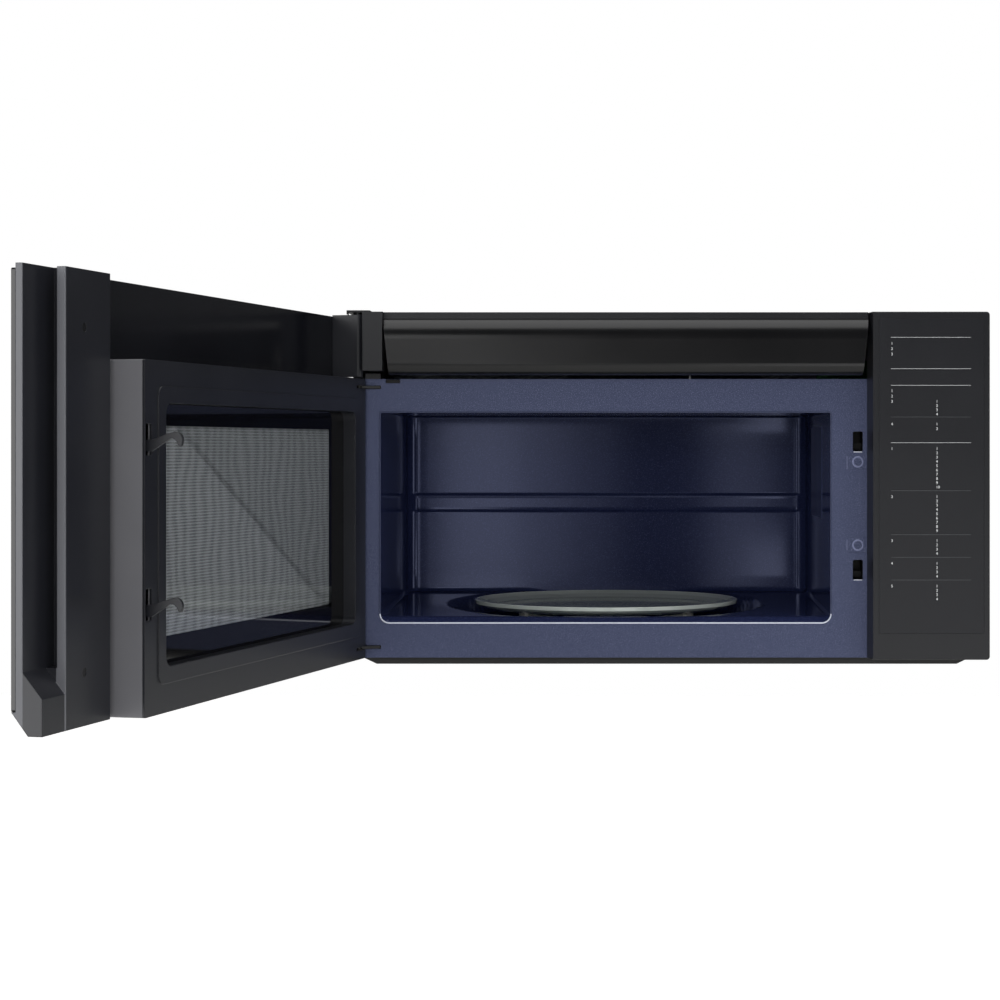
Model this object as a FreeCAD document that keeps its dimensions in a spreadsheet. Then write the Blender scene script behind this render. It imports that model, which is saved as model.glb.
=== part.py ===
import FreeCAD, Part
import Sketcher
import math
import os
import re

# Over-the-range microwave oven: a cooking cavity behind a full-width glass door hinged at the left,
# with a vent blower above it and grease filters below. Millimetres. X runs to the right, Y towards
# the wall, Z up. The origin is the centre of the rear face, where the oven is hung on the wall.

os.makedirs("parts", exist_ok=True)
doc = FreeCAD.newDocument("over_range_microwave")
dims = doc.addObject("Spreadsheet::Sheet", "dims")

sizes = {
    # the whole
    "body_width": 759,
    "body_height": 422,
    "plate_reach": 386,  # wall to the front of the face plate
    "panel_step": 30,  # the label panel stands this far in front of the face plate
    "sheet_wall": 1,
    "seam_gap": 0.5,
    "move_gap": 2,
    # base pan
    "pan_drop": 8.8,
    "pan_inset_left": 12,
    "pan_inset_right": 18,
    "pan_bevel": 15,
    "pan_edge": 1.8,
    "pan_front_gap": 14,
    # face plate and cavity
    "plate_drop": 79,  # a drop is measured down from the top cover
    "mouth_left": 32.3,
    "opening_low": 50.3,
    "opening_drop": 118.6,
    "mouth_right": 185.7,
    "opening_corner": 11,
    "cavity_depth": 357,
    "shelf_rise": 14.7,  # the raised floor around the well
    "well_drop": 10.3,
    "well_size": 201,
    "well_reach": 200,  # the turntable's centre, from the wall
    "lip_fall": 12,
    "band_low": 173,  # a rib pressed across the back of the oven room
    "band_height": 26,
    "band_margin": 13,
    "band_press": 2,
    "room_corner": 14,
    "corner_small": 2,
    "service_margin": 14,
    "service_low": 40,
    "service_drop": 102,
    "guide_reach": 195,
    "guide_depth": 64,
    "guide_drop": 192,
    "guide_height": 100,
    "shaft_size": 3.5,
    # door
    "hinge_inset": 7.5,
    "hinge_lead": 11,  # the hinge axis stands this far in front of the face plate
    "open_angle": 103,
    "door_depth": 29.5,
    "glass_wall": 4,
    "frame_recess": 10,
    "frame_wall": 2.5,
    "frame_rim": 6,
    "door_top_gap": 4.6,
    "bevel_rise": 21,
    "bevel_depth": 16,
    "handle_width": 133.6,
    "grip_wall": 10.7,
    "grip_setback": 43,
    "grip_depth": 58,
    "grip_lip": 8,
    "grip_low": 42,
    "grip_slope": 23,
    "screw_size": 4,
    "screw_drop": 53,
    "screw_low": 57.7,
    "screw_lead": 53.1,
    "board_wall": 1.6,
    "board_gap": 3,
    # inner door box
    "box_inset": 4,
    "box_margin": 144.5,
    "box_drop": 79.2,
    "cover_depth": 3.5,
    "recess_inset": 16,
    "recess_depth": 15,
    "rim_wall": 2,
    "pane_wall": 2,
    "window_margin_left": 89.5,
    "window_margin_right": 49,
    "window_low": 79,
    "window_drop": 140.5,
    "seal_margin_left": 25.8,
    "seal_margin_right": 28.7,
    "seal_low": 37,
    "seal_drop": 103.3,
    "seal_rib": 1.2,
    "box_wall": 1.5,
    "mesh_wall": 0.8,
    # hinge
    "leaf_wall": 3,
    "leaf_drop": 89,
    "leaf_low": 21.5,
    "leaf_width": 30,
    "leaf_margin": 4.5,
    "pin_size": 2.5,
    "pin_fit": 0.05,
    "bush_wall": 1.6,
    "bush_height": 8,
    "leaf_sweep": 28,  # room for a leaf about the axis
    "leaf_root": 24,
    "leaf_tab": 18,
    "block_width": 11,
    "block_shift": 1,
    "block_length": 77,
    "block_gap": 3,
    "top_pin": 17,
    "bracket_left": 13.5,
    "bracket_right": 14,
    "bracket_wall": 2.5,
    "bracket_lip": 2.2,
    "bracket_root": 50,
    # latch
    "latch_lead": 32.2,
    "latch_width": 12,
    "latch_drop": 154,
    "latch_low": 114,
    "latch_height": 24,
    "hook_wall": 4,
    "hook_reach": 33.3,
    "hook_root": 11,  # under the middle of the slot, where the arm leaves the key
    "hook_crown": 7.5,
    "hook_drop": 6,
    "hook_nose": 6.5,
    "hook_tip": 3.5,
    "hook_point": 1,
    "hook_arch": 6,
    "hook_span": 9,
    "hook_round": 8,
    "hook_travel": 6,
    "hook_side": 4.5,
    "catch_depth": 4.5,
    "catch_top": 2,
    "catch_height": 8,
    "key_depth": 14,
    "key_end": 14,
    "post_size": 3,
    "post_spread": 80,
    "spring_size": 4,
    "spring_wire": 0.6,
    "spring_length": 36,
    "spring_pitch": 6,
    "latch_left": 20,
    "latch_right": 24,
    "latch_depth": 50,
    "latch_end": 22,
    "switch_wall": 10,
    "switch_depth": 12,
    "switch_height": 20,
    # label panel, rail and deflector
    "label_width": 138.5,
    "label_draft": 4,
    "label_wall": 2.5,
    "label_corner": 4,
    "edge_round": 1.5,
    "film_margin": 6.8,
    "film_low": 40,
    "film_gap": 0.2,
    "film_wall": 0.6,
    "panel_screw_drop": 179,
    "panel_screw_low": 143.8,
    "panel_screw_head": 1.4,
    "pad_width": 24,
    "pad_height": 17.5,
    "pad_rise": 0.4,
    "shank_size": 1.8,
    "shank_fit": 0.2,
    "rail_height": 8,
    "rail_setback": 12,
    "block_margin": 13.5,
    "block_inner": 37.9,
    "block_drop": 70,
    "deflector_wall": 2,
    "deflector_set": 1,
    "deflector_drop": 75,
    "deflector_roll": 23.5,
    "deflector_back": 11,
    "deflector_arc": 30.6,
    "deflector_curl": 14,
    "deflector_taper": 7,
    # turntable
    "tray_size": 168,
    "tray_height": 11,
    "tray_wall": 4,
    "ring_size": 118.4,
    "ring_wall": 6,
    "roller_size": 7.7,
    "roller_width": 6,
    "axle_size": 1.5,
    "coupler_size": 19,
    "coupler_hub": 8,
    "coupler_arm": 5,
    "tray_rise": 56,
    "tray_lip": 22,
    "ring_height": 6,
    "roller_lap": 3,
    "motor_size": 24,
    "motor_height": 17,
    # wall plate and top cover
    "flange_width": 12,
    "hook_spread": 480,
    "wall_hook_width": 44,
    "wall_hook_height": 9,
    "wall_hook_rise": 14,
    "bolt_spread": 520,
    "bolt_reach": 338,
    "bolt_size": 4.5,
    "cord_margin": 79.5,
    "cord_lead": 41,
    "cord_size": 17,
    # vent and filters
    "filter_lap": 5,
    "lamp_spread": 420,
    "lamp_width": 90,
    "lamp_depth": 34,
    "lamp_lead": 41,
    "filter_width": 190,
    "filter_depth": 148,
    "filter_wall": 3,
    "filter_spread": 250,
    "filter_reach": 235,
    "filter_slide": 11,
    "wheel_size": 42,
    "wheel_width": 70,
    "blower_reach": 95,
    "blower_drop": 56,
    "blade_count": 24,
    "blade_wall": 1.2,
    "blade_depth": 9,
    "wheel_shaft": 4,
    "scroll_wall": 1,
    "scroll_gap": 8,
    "blower_motor": 30,
    "motor_half": 34,
    "exhaust_width": 254,
    "exhaust_depth": 83,
    "charcoal_width": 280,
    "charcoal_depth": 130,
    "charcoal_height": 14,
    "charcoal_reach": 270,
    # lamps and sensor
    "bulb_size": 11,
    "bulb_rise": 14,
    "lens_wall": 3,
    "cavity_bulb_reach": 280,
    "bulb_drop": 137,
    "sensor_size": 8,
    "sensor_margin": 93.8,
    "bush_flange": 3,
    "cord_bore": 8,
    # power parts in the service bay
    "waveguide_depth": 40,
    "waveguide_margin": 6,
    "cover_width": 147,
    "cover_height": 115,
    "magnetron_width": 84,
    "magnetron_depth": 80,
    "magnetron_height": 90,
    "fin_count": 6,
    "fin_wall": 1.5,
    "antenna_size": 9,
    "transformer_width": 100,
    "transformer_depth": 80,
    "transformer_height": 82,
    "transformer_reach": 245,
    "coil_overhang": 14,
    "capacitor_margin": 79.5,
    "capacitor_reach": 130,
    "capacitor_size": 16,
    "capacitor_length": 95,
    "fan_margin": 87.5,
    "fan_drop": 187,
    "fan_size": 62,
    "fan_ring": 68,
    "fan_depth": 26,
    "fan_stand": 30,
    "fan_shaft": 3,
    "fan_hub": 14,
    "fan_motor": 22,
    "fan_blades": 5,
    "fan_pitch": 32,
    "board_drop": 102,
    "board_margin": 134.5,
    "board_width": 70,
    "board_height": 60,
    "stand_off": 6,
    "control_low": 90,
    "control_drop": 92,
}

for row, (name, size) in enumerate(sizes.items(), start=1):
    dims.set("A%d" % row, name)
    dims.set("B%d" % row, str(size))
    dims.setAlias("B%d" % row, name)
doc.recompute()

# Places worked out from the sizes. Heights run from the floor, the underside of the base pan.
places = {
    "floor": "0 - body_height / 2",
    "roof": "body_height / 2",
    "side": "body_width / 2",
    "base": "floor + pan_drop",
    "cord_reach": "plate_reach - cord_lead",
    "lamp_reach": "plate_reach - lamp_lead",
    "panel_reach": "plate_reach + panel_step",
    "door_back": "panel_reach + move_gap",
    "door_front": "door_back + door_depth",
    "hinge_reach": "plate_reach + hinge_lead",
    "hinge_side": "side - hinge_inset",
    "opening_left": "mouth_left - side",
    "opening_right": "side - mouth_right",
    "opening_width": "opening_right - opening_left",
    "opening_middle": "(opening_left + opening_right) / 2",
    "opening_high": "body_height - opening_drop",
    "plate_rise": "body_height - plate_drop",
    "service_left": "label_left + service_margin",
    "service_right": "side - service_margin",
    "service_high": "body_height - service_drop",
    "guide_rise": "body_height - guide_drop",
    "label_left": "side - label_width",
    "well_floor": "opening_low - well_drop",
    "cavity_back": "plate_reach - cavity_depth",
    "leaf_left": "0 - hinge_side - leaf_margin",
    "leaf_right": "leaf_left + leaf_width",
    "box_back": "plate_reach + move_gap",
    "box_joint": "box_back + cover_depth",
    "box_front": "door_back + frame_recess",
    "box_right": "side - box_margin",
    "box_rise": "body_height - pan_drop - box_drop",
    "seal_left": "seal_margin_left - side",
    "seal_right": "box_right - seal_margin_right",
    "seal_high": "body_height - seal_drop",
    "recess_left": "seal_left + recess_inset",
    "recess_right": "seal_right - recess_inset",
    "recess_low": "floor + seal_low + recess_inset",
    "recess_high": "floor + seal_high - recess_inset",
    "recess_back": "box_back + recess_depth",
    "window_left": "window_margin_left - side",
    "window_right": "box_right - window_margin_right",
    "window_high": "body_height - window_drop",
    "rail_start": "side - handle_width",
    "screw_side": "rail_start + screw_lead",
    "screw_high": "body_height - screw_drop",
    "leaf_high": "body_height - leaf_drop",
    "block_foot": "body_height - block_length",
    "block_head": "body_height - block_gap",
    "latch_middle": "opening_right + latch_lead",
    "latch_high": "body_height - latch_drop",
    "panel_screw_high": "body_height - panel_screw_drop",
    "block_left": "side - block_margin",
    "block_right": "side - block_inner",
    "block_low": "body_height - block_drop",
    "deflector_low": "body_height - deflector_drop",
    "cord_side": "side - cord_margin",
    "blower_height": "body_height - blower_drop",
    "cavity_bulb_rise": "body_height - bulb_drop",
    "sensor_side": "opening_right - sensor_margin",
    "transformer_left": "(filter_spread + filter_width) / 2 + filter_slide + board_gap",
    "capacitor_side": "side - capacitor_margin",
    "fan_side": "side - fan_margin",
    "fan_rise": "body_height - fan_drop",
    "board_side": "side - board_margin",
    "board_rise": "body_height - board_drop",
    "control_high": "body_height - control_drop",
    "key_back": "box_joint + box_wall + seam_gap",
    "hook_end": "box_back - hook_reach",
    "key_foot": "floor + latch_low - key_end - hook_drop",
    "bush_size": "pin_size + pin_fit + bush_wall",
    "bush_span": "leaf_wall + 2 * seam_gap + 2 * bush_height",
    "tray_floor": "floor + tray_rise",
    "ring_middle": "floor + well_floor + roller_size + film_gap",
}

WORD = re.compile(r"[a-z_]+")


def formula(text):
    """Spell a length written in words as an expression on the sheet's cells."""
    def spell(match):
        word = match.group(0)
        if word in places:
            return "(" + formula(places[word]) + ")"
        return "dims." + word if word in sizes else word
    return WORD.sub(spell, text)


def number(text):
    return float(dims.evalExpression(formula(text)))


def bind(thing, name, text):
    thing.setExpression(name, formula(text))


def vector(x, y, z=0.0):
    return FreeCAD.Vector(x, y, z)


# ---------------------------------------------------------------- sketches and features

def new_body(label):
    body = doc.addObject("PartDesign::Body", label)
    body.Label = label
    return body


def new_sketch(body, plane, offset="0"):
    """A sketch on the body's own origin plane, moved along the plane's normal."""
    sketch = body.newObject("Sketcher::SketchObject", body.Label + "_sketch")
    support = [item for item in body.Origin.OriginFeatures if item.Role == plane][0]
    sketch.AttachmentSupport = (support, [""])
    sketch.MapMode = "FlatFace"
    bind(sketch, "AttachmentOffset.Base.z", offset)
    return sketch


def outline(sketch, corners, bends=()):
    """A closed outline through corners, each tied to the sheet. bends gives arcs by the number of their
    first corner, with a radius that is negative where the arc bulges to the left of the way along."""
    bends = dict(bends)
    spots = [vector(number(x), number(y)) for x, y in corners]
    first = sketch.GeometryCount
    ends = []
    for index, start in enumerate(spots):
        finish = spots[(index + 1) % len(spots)]
        if index in bends:
            size = number(bends[index])
            half = (finish - start) * 0.5
            side = vector(half.y, -half.x) * (1 if size > 0 else -1)
            side.normalize()
            rise = abs(size) - math.sqrt(max(size * size - half.Length ** 2, 0.0))
            along = (start, finish) if size > 0 else (finish, start)
            arc = Part.ArcOfCircle(along[0], start + half + side * rise, along[1])
            sketch.addGeometry(arc, False)
            ends.append((1, 2) if size > 0 else (2, 1))
        else:
            sketch.addGeometry(Part.LineSegment(start, finish), False)
            ends.append((1, 2))
    count = len(spots)
    for index in range(count):
        after = (index + 1) % count
        sketch.addConstraint(Sketcher.Constraint(
            "Coincident", first + index, ends[index][1], first + after, ends[after][0]))
    for index, (x, y) in enumerate(corners):
        for kind, text, value in (("DistanceX", x, spots[index].x), ("DistanceY", y, spots[index].y)):
            place = sketch.addConstraint(Sketcher.Constraint(
                kind, -1, 1, first + index, ends[index][0], value))
            bind(sketch, "Constraints[%d]" % place, text)
    for index, text in bends.items():
        place = sketch.addConstraint(Sketcher.Constraint("Radius", first + index, abs(number(text))))
        bind(sketch, "Constraints[%d]" % place, "abs(" + text + ")")


def rectangle(sketch, left, right, low, high, corner=None):
    if corner is None:
        outline(sketch, [(left, low), (right, low), (right, high), (left, high)])
        return
    inner_left, inner_right = left + " + " + corner, right + " - " + corner
    inner_low, inner_high = low + " + " + corner, high + " - " + corner
    outline(sketch,
            [(inner_left, low), (inner_right, low), (right, inner_low), (right, inner_high),
             (inner_right, high), (inner_left, high), (left, inner_high), (left, inner_low)],
            bends=[(1, corner), (3, corner), (5, corner), (7, corner)])


def circle(sketch, x, y, radius):
    spot = vector(number(x), number(y))
    place = sketch.addGeometry(Part.Circle(spot, vector(0, 0, 1), number(radius)), False)
    for kind, text, value in (("DistanceX", x, spot.x), ("DistanceY", y, spot.y)):
        tie = sketch.addConstraint(Sketcher.Constraint(kind, -1, 1, place, 3, value))
        bind(sketch, "Constraints[%d]" % tie, text)
    tie = sketch.addConstraint(Sketcher.Constraint("Radius", place, number(radius)))
    bind(sketch, "Constraints[%d]" % tie, radius)


def feature(body, kind, sketch, length=None, reverse=False, middle=False):
    item = body.newObject("PartDesign::" + kind, body.Label + "_" + kind.lower())
    item.Profile = sketch
    if length is None:
        item.Type = "ThroughAll"
        item.Midplane = True
    else:
        bind(item, "Length", length)
        item.Reversed = reverse
        item.Midplane = middle
    sketch.Visibility = False
    return item


def cut(body, sketch, length=None, reverse=False, middle=False):
    """A pocket, checked to have taken material away."""
    doc.recompute()
    before = body.Shape.Volume
    item = feature(body, "Pocket", sketch, length, reverse, middle)
    doc.recompute()
    if body.Shape.Volume > before - 1e-6:
        raise ValueError("a pocket in %s cuts nothing" % body.Label)
    return item


def round_edges(body, radius, spots):
    """Round every edge of the body's last shape that lies at the given x, y and z; None is any."""
    doc.recompute()
    last = body.Tip
    wanted = [[None if text is None else number(text) for text in spot] for spot in spots]
    names = []
    for index, edge in enumerate(last.Shape.Edges, start=1):
        ends = [vertex.Point for vertex in edge.Vertexes]
        for spot in wanted:
            near = all(value is None or all(abs(end[axis] - value) < 1e-4 for end in ends)
                       for axis, value in enumerate(spot))
            if near and "Edge%d" % index not in names:
                names.append("Edge%d" % index)
    if not names:
        raise ValueError("no edge to round on " + body.Label)
    item = body.newObject("PartDesign::Fillet", body.Label + "_round")
    item.Base = (last, names)
    bind(item, "Radius", radius)
    doc.recompute()
    return item


# ---------------------------------------------------------------- primitives

def block(left, right, front, back, low, high, name="block"):
    """A box between six places; front and back are distances from the wall."""
    box = doc.addObject("Part::Box", name)
    bind(box, "Length", "(" + right + ") - (" + left + ")")
    bind(box, "Width", "(" + front + ") - (" + back + ")")
    bind(box, "Height", "(" + high + ") - (" + low + ")")
    bind(box, "Placement.Base.x", left)
    bind(box, "Placement.Base.y", "0 - (" + front + ")")
    bind(box, "Placement.Base.z", low)
    return box


TURNS = {"up": FreeCAD.Rotation(), "right": FreeCAD.Rotation(vector(0, 1), 90),
         "back": FreeCAD.Rotation(vector(1, 0), -90)}


def drum(x, reach, z, radius, length, way="up", name="drum"):
    """A cylinder that starts at a place and runs up, right or back."""
    item = doc.addObject("Part::Cylinder", name)
    item.Placement = FreeCAD.Placement(vector(0, 0), TURNS[way])
    bind(item, "Radius", radius)
    bind(item, "Height", length)
    bind(item, "Placement.Base.x", x)
    bind(item, "Placement.Base.y", "0 - (" + reach + ")")
    bind(item, "Placement.Base.z", z)
    return item


def join(pieces, name="join"):
    item = doc.addObject("Part::MultiFuse", name)
    item.Shapes = pieces
    item.Refine = True
    return item


def group(pieces, name="group"):
    """Separate solids under one name."""
    item = doc.addObject("Part::Compound", name)
    item.Links = pieces
    return item


def less(base, tools, name="less"):
    item = doc.addObject("Part::Cut", name)
    item.Base = base
    item.Tool = tools[0] if len(tools) == 1 else join(tools)
    item.Refine = True
    return item


parts = {}


def keep(item, label):
    item.Label = label
    parts[label] = item
    return item


def hang(item):
    """Door pieces are drawn shut, in the body's frame, and swing open about the hinge axis."""
    item.Placement = FreeCAD.Placement(vector(0, 0), FreeCAD.Rotation(vector(0, 0, 1), 1))
    bind(item, "Placement.Rotation.Angle", "0 - open_angle")
    bind(item, "Placement.Base.x",
         "0 - hinge_side + hinge_side * cos(open_angle) + hinge_reach * sin(open_angle)")
    bind(item, "Placement.Base.y",
         "0 - hinge_reach + hinge_reach * cos(open_angle) - hinge_side * sin(open_angle)")
    return item


def prism(plane, offset, length, corners, bends=(), name="prism"):
    """An outline on a level through the origin, moved by offset and drawn out by length."""
    sketch = doc.addObject("Sketcher::SketchObject", name + "_sketch")
    turn = {"XY": FreeCAD.Rotation(), "XZ": FreeCAD.Rotation(vector(1, 0), 90),
            "YZ": FreeCAD.Rotation(vector(0, 0, 1), 90) * FreeCAD.Rotation(vector(1, 0), 90)}[plane]
    sketch.Placement = FreeCAD.Placement(vector(0, 0), turn)
    axis, sign = {"XY": ("z", ""), "XZ": ("y", "0 - "), "YZ": ("x", "")}[plane]
    bind(sketch, "Placement.Base." + axis, sign + "(" + offset + ")")
    outline(sketch, corners, bends)
    return extrusion(sketch, length, name)


def extrusion(sketch, length, name):
    solid = doc.addObject("Part::Extrusion", name)
    solid.Base = sketch
    solid.DirMode = "Normal"
    solid.Solid = True
    bind(solid, "LengthFwd", length)
    return solid


# ---------------------------------------------------------------- casing

def mouth(sketch, low, high):
    """The oven's section: round at the foot and nearly square at the top."""
    small, large = "corner_small", "opening_corner"
    outline(sketch,
            [("opening_left + " + large, low), ("opening_right - " + large, low),
             ("opening_right", low + " + " + large), ("opening_right", high + " - " + small),
             ("opening_right - " + small, high), ("opening_left + " + small, high),
             ("opening_left", high + " - " + small), ("opening_left", low + " + " + large)],
            [(1, large), (3, small), (5, small), (7, large)])


def face_plate():
    """Enamelled front plate: oven mouth, latch slots and notches for the hinge leaves."""
    body = new_body("face_plate")
    sheet = new_sketch(body, "XZ_Plane", "plate_reach - sheet_wall")
    rectangle(sheet, "0 - side + sheet_wall + seam_gap", "side - sheet_wall - seam_gap",
              "base", "floor + plate_rise")
    feature(body, "Pad", sheet, "sheet_wall")
    pads = new_sketch(body, "XZ_Plane", "plate_reach")
    for height in ("panel_screw_high", "panel_screw_low"):
        rectangle(pads, "latch_middle - pad_width / 2", "latch_middle + pad_width / 2",
                  "floor + " + height + " - pad_height / 2", "floor + " + height + " + pad_height / 2",
                  "corner_small")
    feature(body, "Pad", pads, "pad_rise")
    holes = new_sketch(body, "XZ_Plane", "plate_reach")
    mouth(holes, "floor + opening_low", "floor + opening_high")
    for height in ("latch_high", "latch_low"):
        rectangle(holes, "latch_middle - latch_width / 2", "latch_middle + latch_width / 2",
                  "floor + " + height + " - latch_height / 2",
                  "floor + " + height + " + latch_height / 2", "corner_small")
    for height in ("panel_screw_high", "panel_screw_low"):
        circle(holes, "latch_middle", "floor + " + height, "shank_size + shank_fit")
    for height in ("leaf_high", "leaf_low"):
        rectangle(holes, "0 - side", "leaf_right + seam_gap",
                  "floor + " + height + " - leaf_wall / 2 - seam_gap",
                  "floor + " + height + " + leaf_wall / 2 + seam_gap")
    rectangle(holes, "service_left", "service_right", "floor + service_low", "floor + service_high",
              "opening_corner")
    cut(body, holes)
    keep(body, "face_plate")


def cavity_liner():
    """Pressed oven room: a raised floor with a round well for the turntable."""
    front = "plate_reach - sheet_wall"
    high, low = "floor + opening_high", "floor + opening_low"
    shelf, well = low + " + shelf_rise", "floor + well_floor"
    outer = block("opening_left - sheet_wall", "opening_right + sheet_wall", front,
                  "cavity_back - sheet_wall", well + " - sheet_wall", high + " + sheet_wall")
    section = doc.addObject("Sketcher::SketchObject", "oven_section")
    section.Placement = FreeCAD.Placement(vector(0, 0), FreeCAD.Rotation(vector(1, 0), 90))
    bind(section, "Placement.Base.y", "0 - cavity_back")
    mouth(section, shelf, high)
    length = extrusion(section, "cavity_depth", "oven_length")
    deep, near = "0 - cavity_back", "0 - plate_reach"
    plan = prism("XY", shelf, high + " - (" + shelf + ")",
                 [("opening_left", near), ("opening_right", near), ("opening_right", deep + " - room_corner"),
                  ("opening_right - room_corner", deep), ("opening_left + room_corner", deep),
                  ("opening_left", deep + " - room_corner")],
                 [(2, "room_corner"), (4, "room_corner")], "oven_plan")
    room = doc.addObject("Part::Common", "oven_room")
    room.Base = length
    room.Tool = plan
    well_round = drum("opening_middle", "well_reach", well, "well_size", "well_drop + shelf_rise + 1")
    inside = block("opening_left", "opening_right", "plate_reach", "cavity_back", well, high)
    pressed = doc.addObject("Part::Common", "well_in_room")
    pressed.Base = well_round
    pressed.Tool = inside
    slope = prism("YZ", "opening_left", "opening_width",
                  [("0 - plate_reach", low), ("lip_fall - plate_reach", shelf),
                   ("lip_fall - plate_reach", shelf + " + 1"), ("0 - plate_reach", shelf + " + 1")],
                  name="front_slope")
    under = block("opening_left - 2 * sheet_wall", "opening_right + 2 * sheet_wall",
                  "plate_reach - lip_fall - sheet_wall", "cavity_back - 2 * sheet_wall",
                  well + " - 2 * sheet_wall", shelf + " - sheet_wall")
    kept_well = drum("opening_middle", "well_reach", well + " - 3 * sheet_wall", "well_size + sheet_wall",
                     "well_drop + shelf_rise + 5 * sheet_wall")
    underside = less(under, [kept_well], "underside")
    shaft_hole = drum("opening_middle", "well_reach", well + " - 2 * sheet_wall", "shaft_size + move_gap",
                      "4 * sheet_wall")
    guide = block("opening_right - sheet_wall", "opening_right + 2 * sheet_wall",
                  "guide_reach + guide_depth / 2", "guide_reach - guide_depth / 2",
                  "floor + guide_rise - guide_height / 2", "floor + guide_rise + guide_height / 2")
    foot, head = "floor + band_low", "floor + band_low + band_height"
    rib = block("opening_left + band_margin", "opening_right - band_margin", "cavity_back",
                "cavity_back - sheet_wall - band_press", foot, head)
    hollow = block("opening_left + band_margin + sheet_wall", "opening_right - band_margin - sheet_wall",
                   "cavity_back + 1", "cavity_back - band_press", foot + " + sheet_wall",
                   head + " - sheet_wall")
    keep(less(join([outer, rib]), [room, pressed, slope, underside, shaft_hole, guide, hollow], "liner"),
         "cavity_liner")


def casing():
    """Outer sheets: wall plate, two sides and the top."""
    body = new_body("rear_plate")
    sheet = new_sketch(body, "XZ_Plane", "0")
    rectangle(sheet, "0 - side + sheet_wall", "side - sheet_wall", "base", "roof - sheet_wall")
    feature(body, "Pad", sheet, "sheet_wall")
    holes = new_sketch(body, "XZ_Plane", "sheet_wall")
    for sign in ("0 - ", ""):
        left = sign + "hook_spread / 2 - wall_hook_width / 2"
        right = sign + "hook_spread / 2 + wall_hook_width / 2"
        round_end, foot = "wall_hook_height / 2", "base + wall_hook_rise"
        near, far, head = left + " + " + round_end, right + " - " + round_end, foot + " + wall_hook_height"
        outline(holes, [(near, foot), (far, foot), (right, foot + " + " + round_end), (far, head),
                        (near, head), (left, foot + " + " + round_end)],
                [(1, round_end), (2, round_end), (4, round_end), (5, round_end)])
    cut(body, holes)
    keep(body, "rear_plate")

    for label, sign, side_sign in (("side_panel_left", "0 - ", "-"), ("side_panel_right", "", "")):
        body = new_body(label)
        bent = new_sketch(body, "XY_Plane", "base")
        near, far = "0 - sheet_wall - seam_gap", "sheet_wall + seam_gap - plate_reach"
        outer, inner = sign + "side", sign + "(side - sheet_wall)"
        flange = sign + "(side - flange_width)"
        outline(bent, [(outer, near), (outer, far), (flange, far), (flange, far + " + sheet_wall"),
                       (inner, far + " + sheet_wall"), (inner, near + " - sheet_wall"),
                       (flange, near + " - sheet_wall"), (flange, near)])
        feature(body, "Pad", bent, "roof - base - sheet_wall")
        keep(body, label)

    body = new_body("top_cover")
    sheet = new_sketch(body, "XY_Plane", "roof - sheet_wall")
    rectangle(sheet, "0 - side", "side", "0 - plate_reach", "0")
    feature(body, "Pad", sheet, "sheet_wall")
    holes = new_sketch(body, "XY_Plane", "roof")
    rectangle(holes, "0 - exhaust_width / 2", "exhaust_width / 2",
              "0 - blower_reach - exhaust_depth / 2", "exhaust_depth / 2 - blower_reach", "corner_small")
    for sign in ("0 - ", ""):
        circle(holes, sign + "bolt_spread / 2", "0 - bolt_reach", "bolt_size")
    circle(holes, "cord_side", "0 - cord_reach", "cord_size")
    cut(body, holes)
    keep(body, "top_cover")


def base_pan():
    """Shallow pan under the oven with bevelled ends, two filter wells and two lamp windows."""
    body = new_body("base_pan")
    left, right = "0 - side + pan_inset_left", "side - pan_inset_right"
    front = new_sketch(body, "XZ_Plane", "sheet_wall")
    outline(front, [(left, "base"), (left, "base - pan_edge"), (left + " + pan_bevel", "floor"),
                    (right + " - pan_bevel", "floor"), (right, "base - pan_edge"), (right, "base")])
    feature(body, "Pad", front, "plate_reach - sheet_wall - pan_front_gap")
    tray = new_sketch(body, "XY_Plane", "base")
    rectangle(tray, left + " + pan_bevel", right + " - pan_bevel",
              "pan_front_gap + sheet_wall - plate_reach", "0 - 2 * sheet_wall")
    cut(body, tray, "pan_drop - sheet_wall")
    holes = new_sketch(body, "XY_Plane", "floor")
    for sign in ("0 - ", ""):
        middle = sign + "filter_spread / 2"
        rectangle(holes, middle + " - filter_width / 2 + filter_lap",
                  middle + " + filter_width / 2 - filter_lap",
                  "0 - filter_reach - filter_depth / 2 + filter_lap",
                  "filter_depth / 2 - filter_lap - filter_reach", "corner_small")
        lamp = sign + "lamp_spread / 2"
        rectangle(holes, lamp + " - lamp_width / 2 + filter_lap", lamp + " + lamp_width / 2 - filter_lap",
                  "0 - lamp_reach - lamp_depth / 2 + filter_lap",
                  "lamp_depth / 2 - filter_lap - lamp_reach", "corner_small")
    cut(body, holes)
    keep(body, "base_pan")


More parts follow.
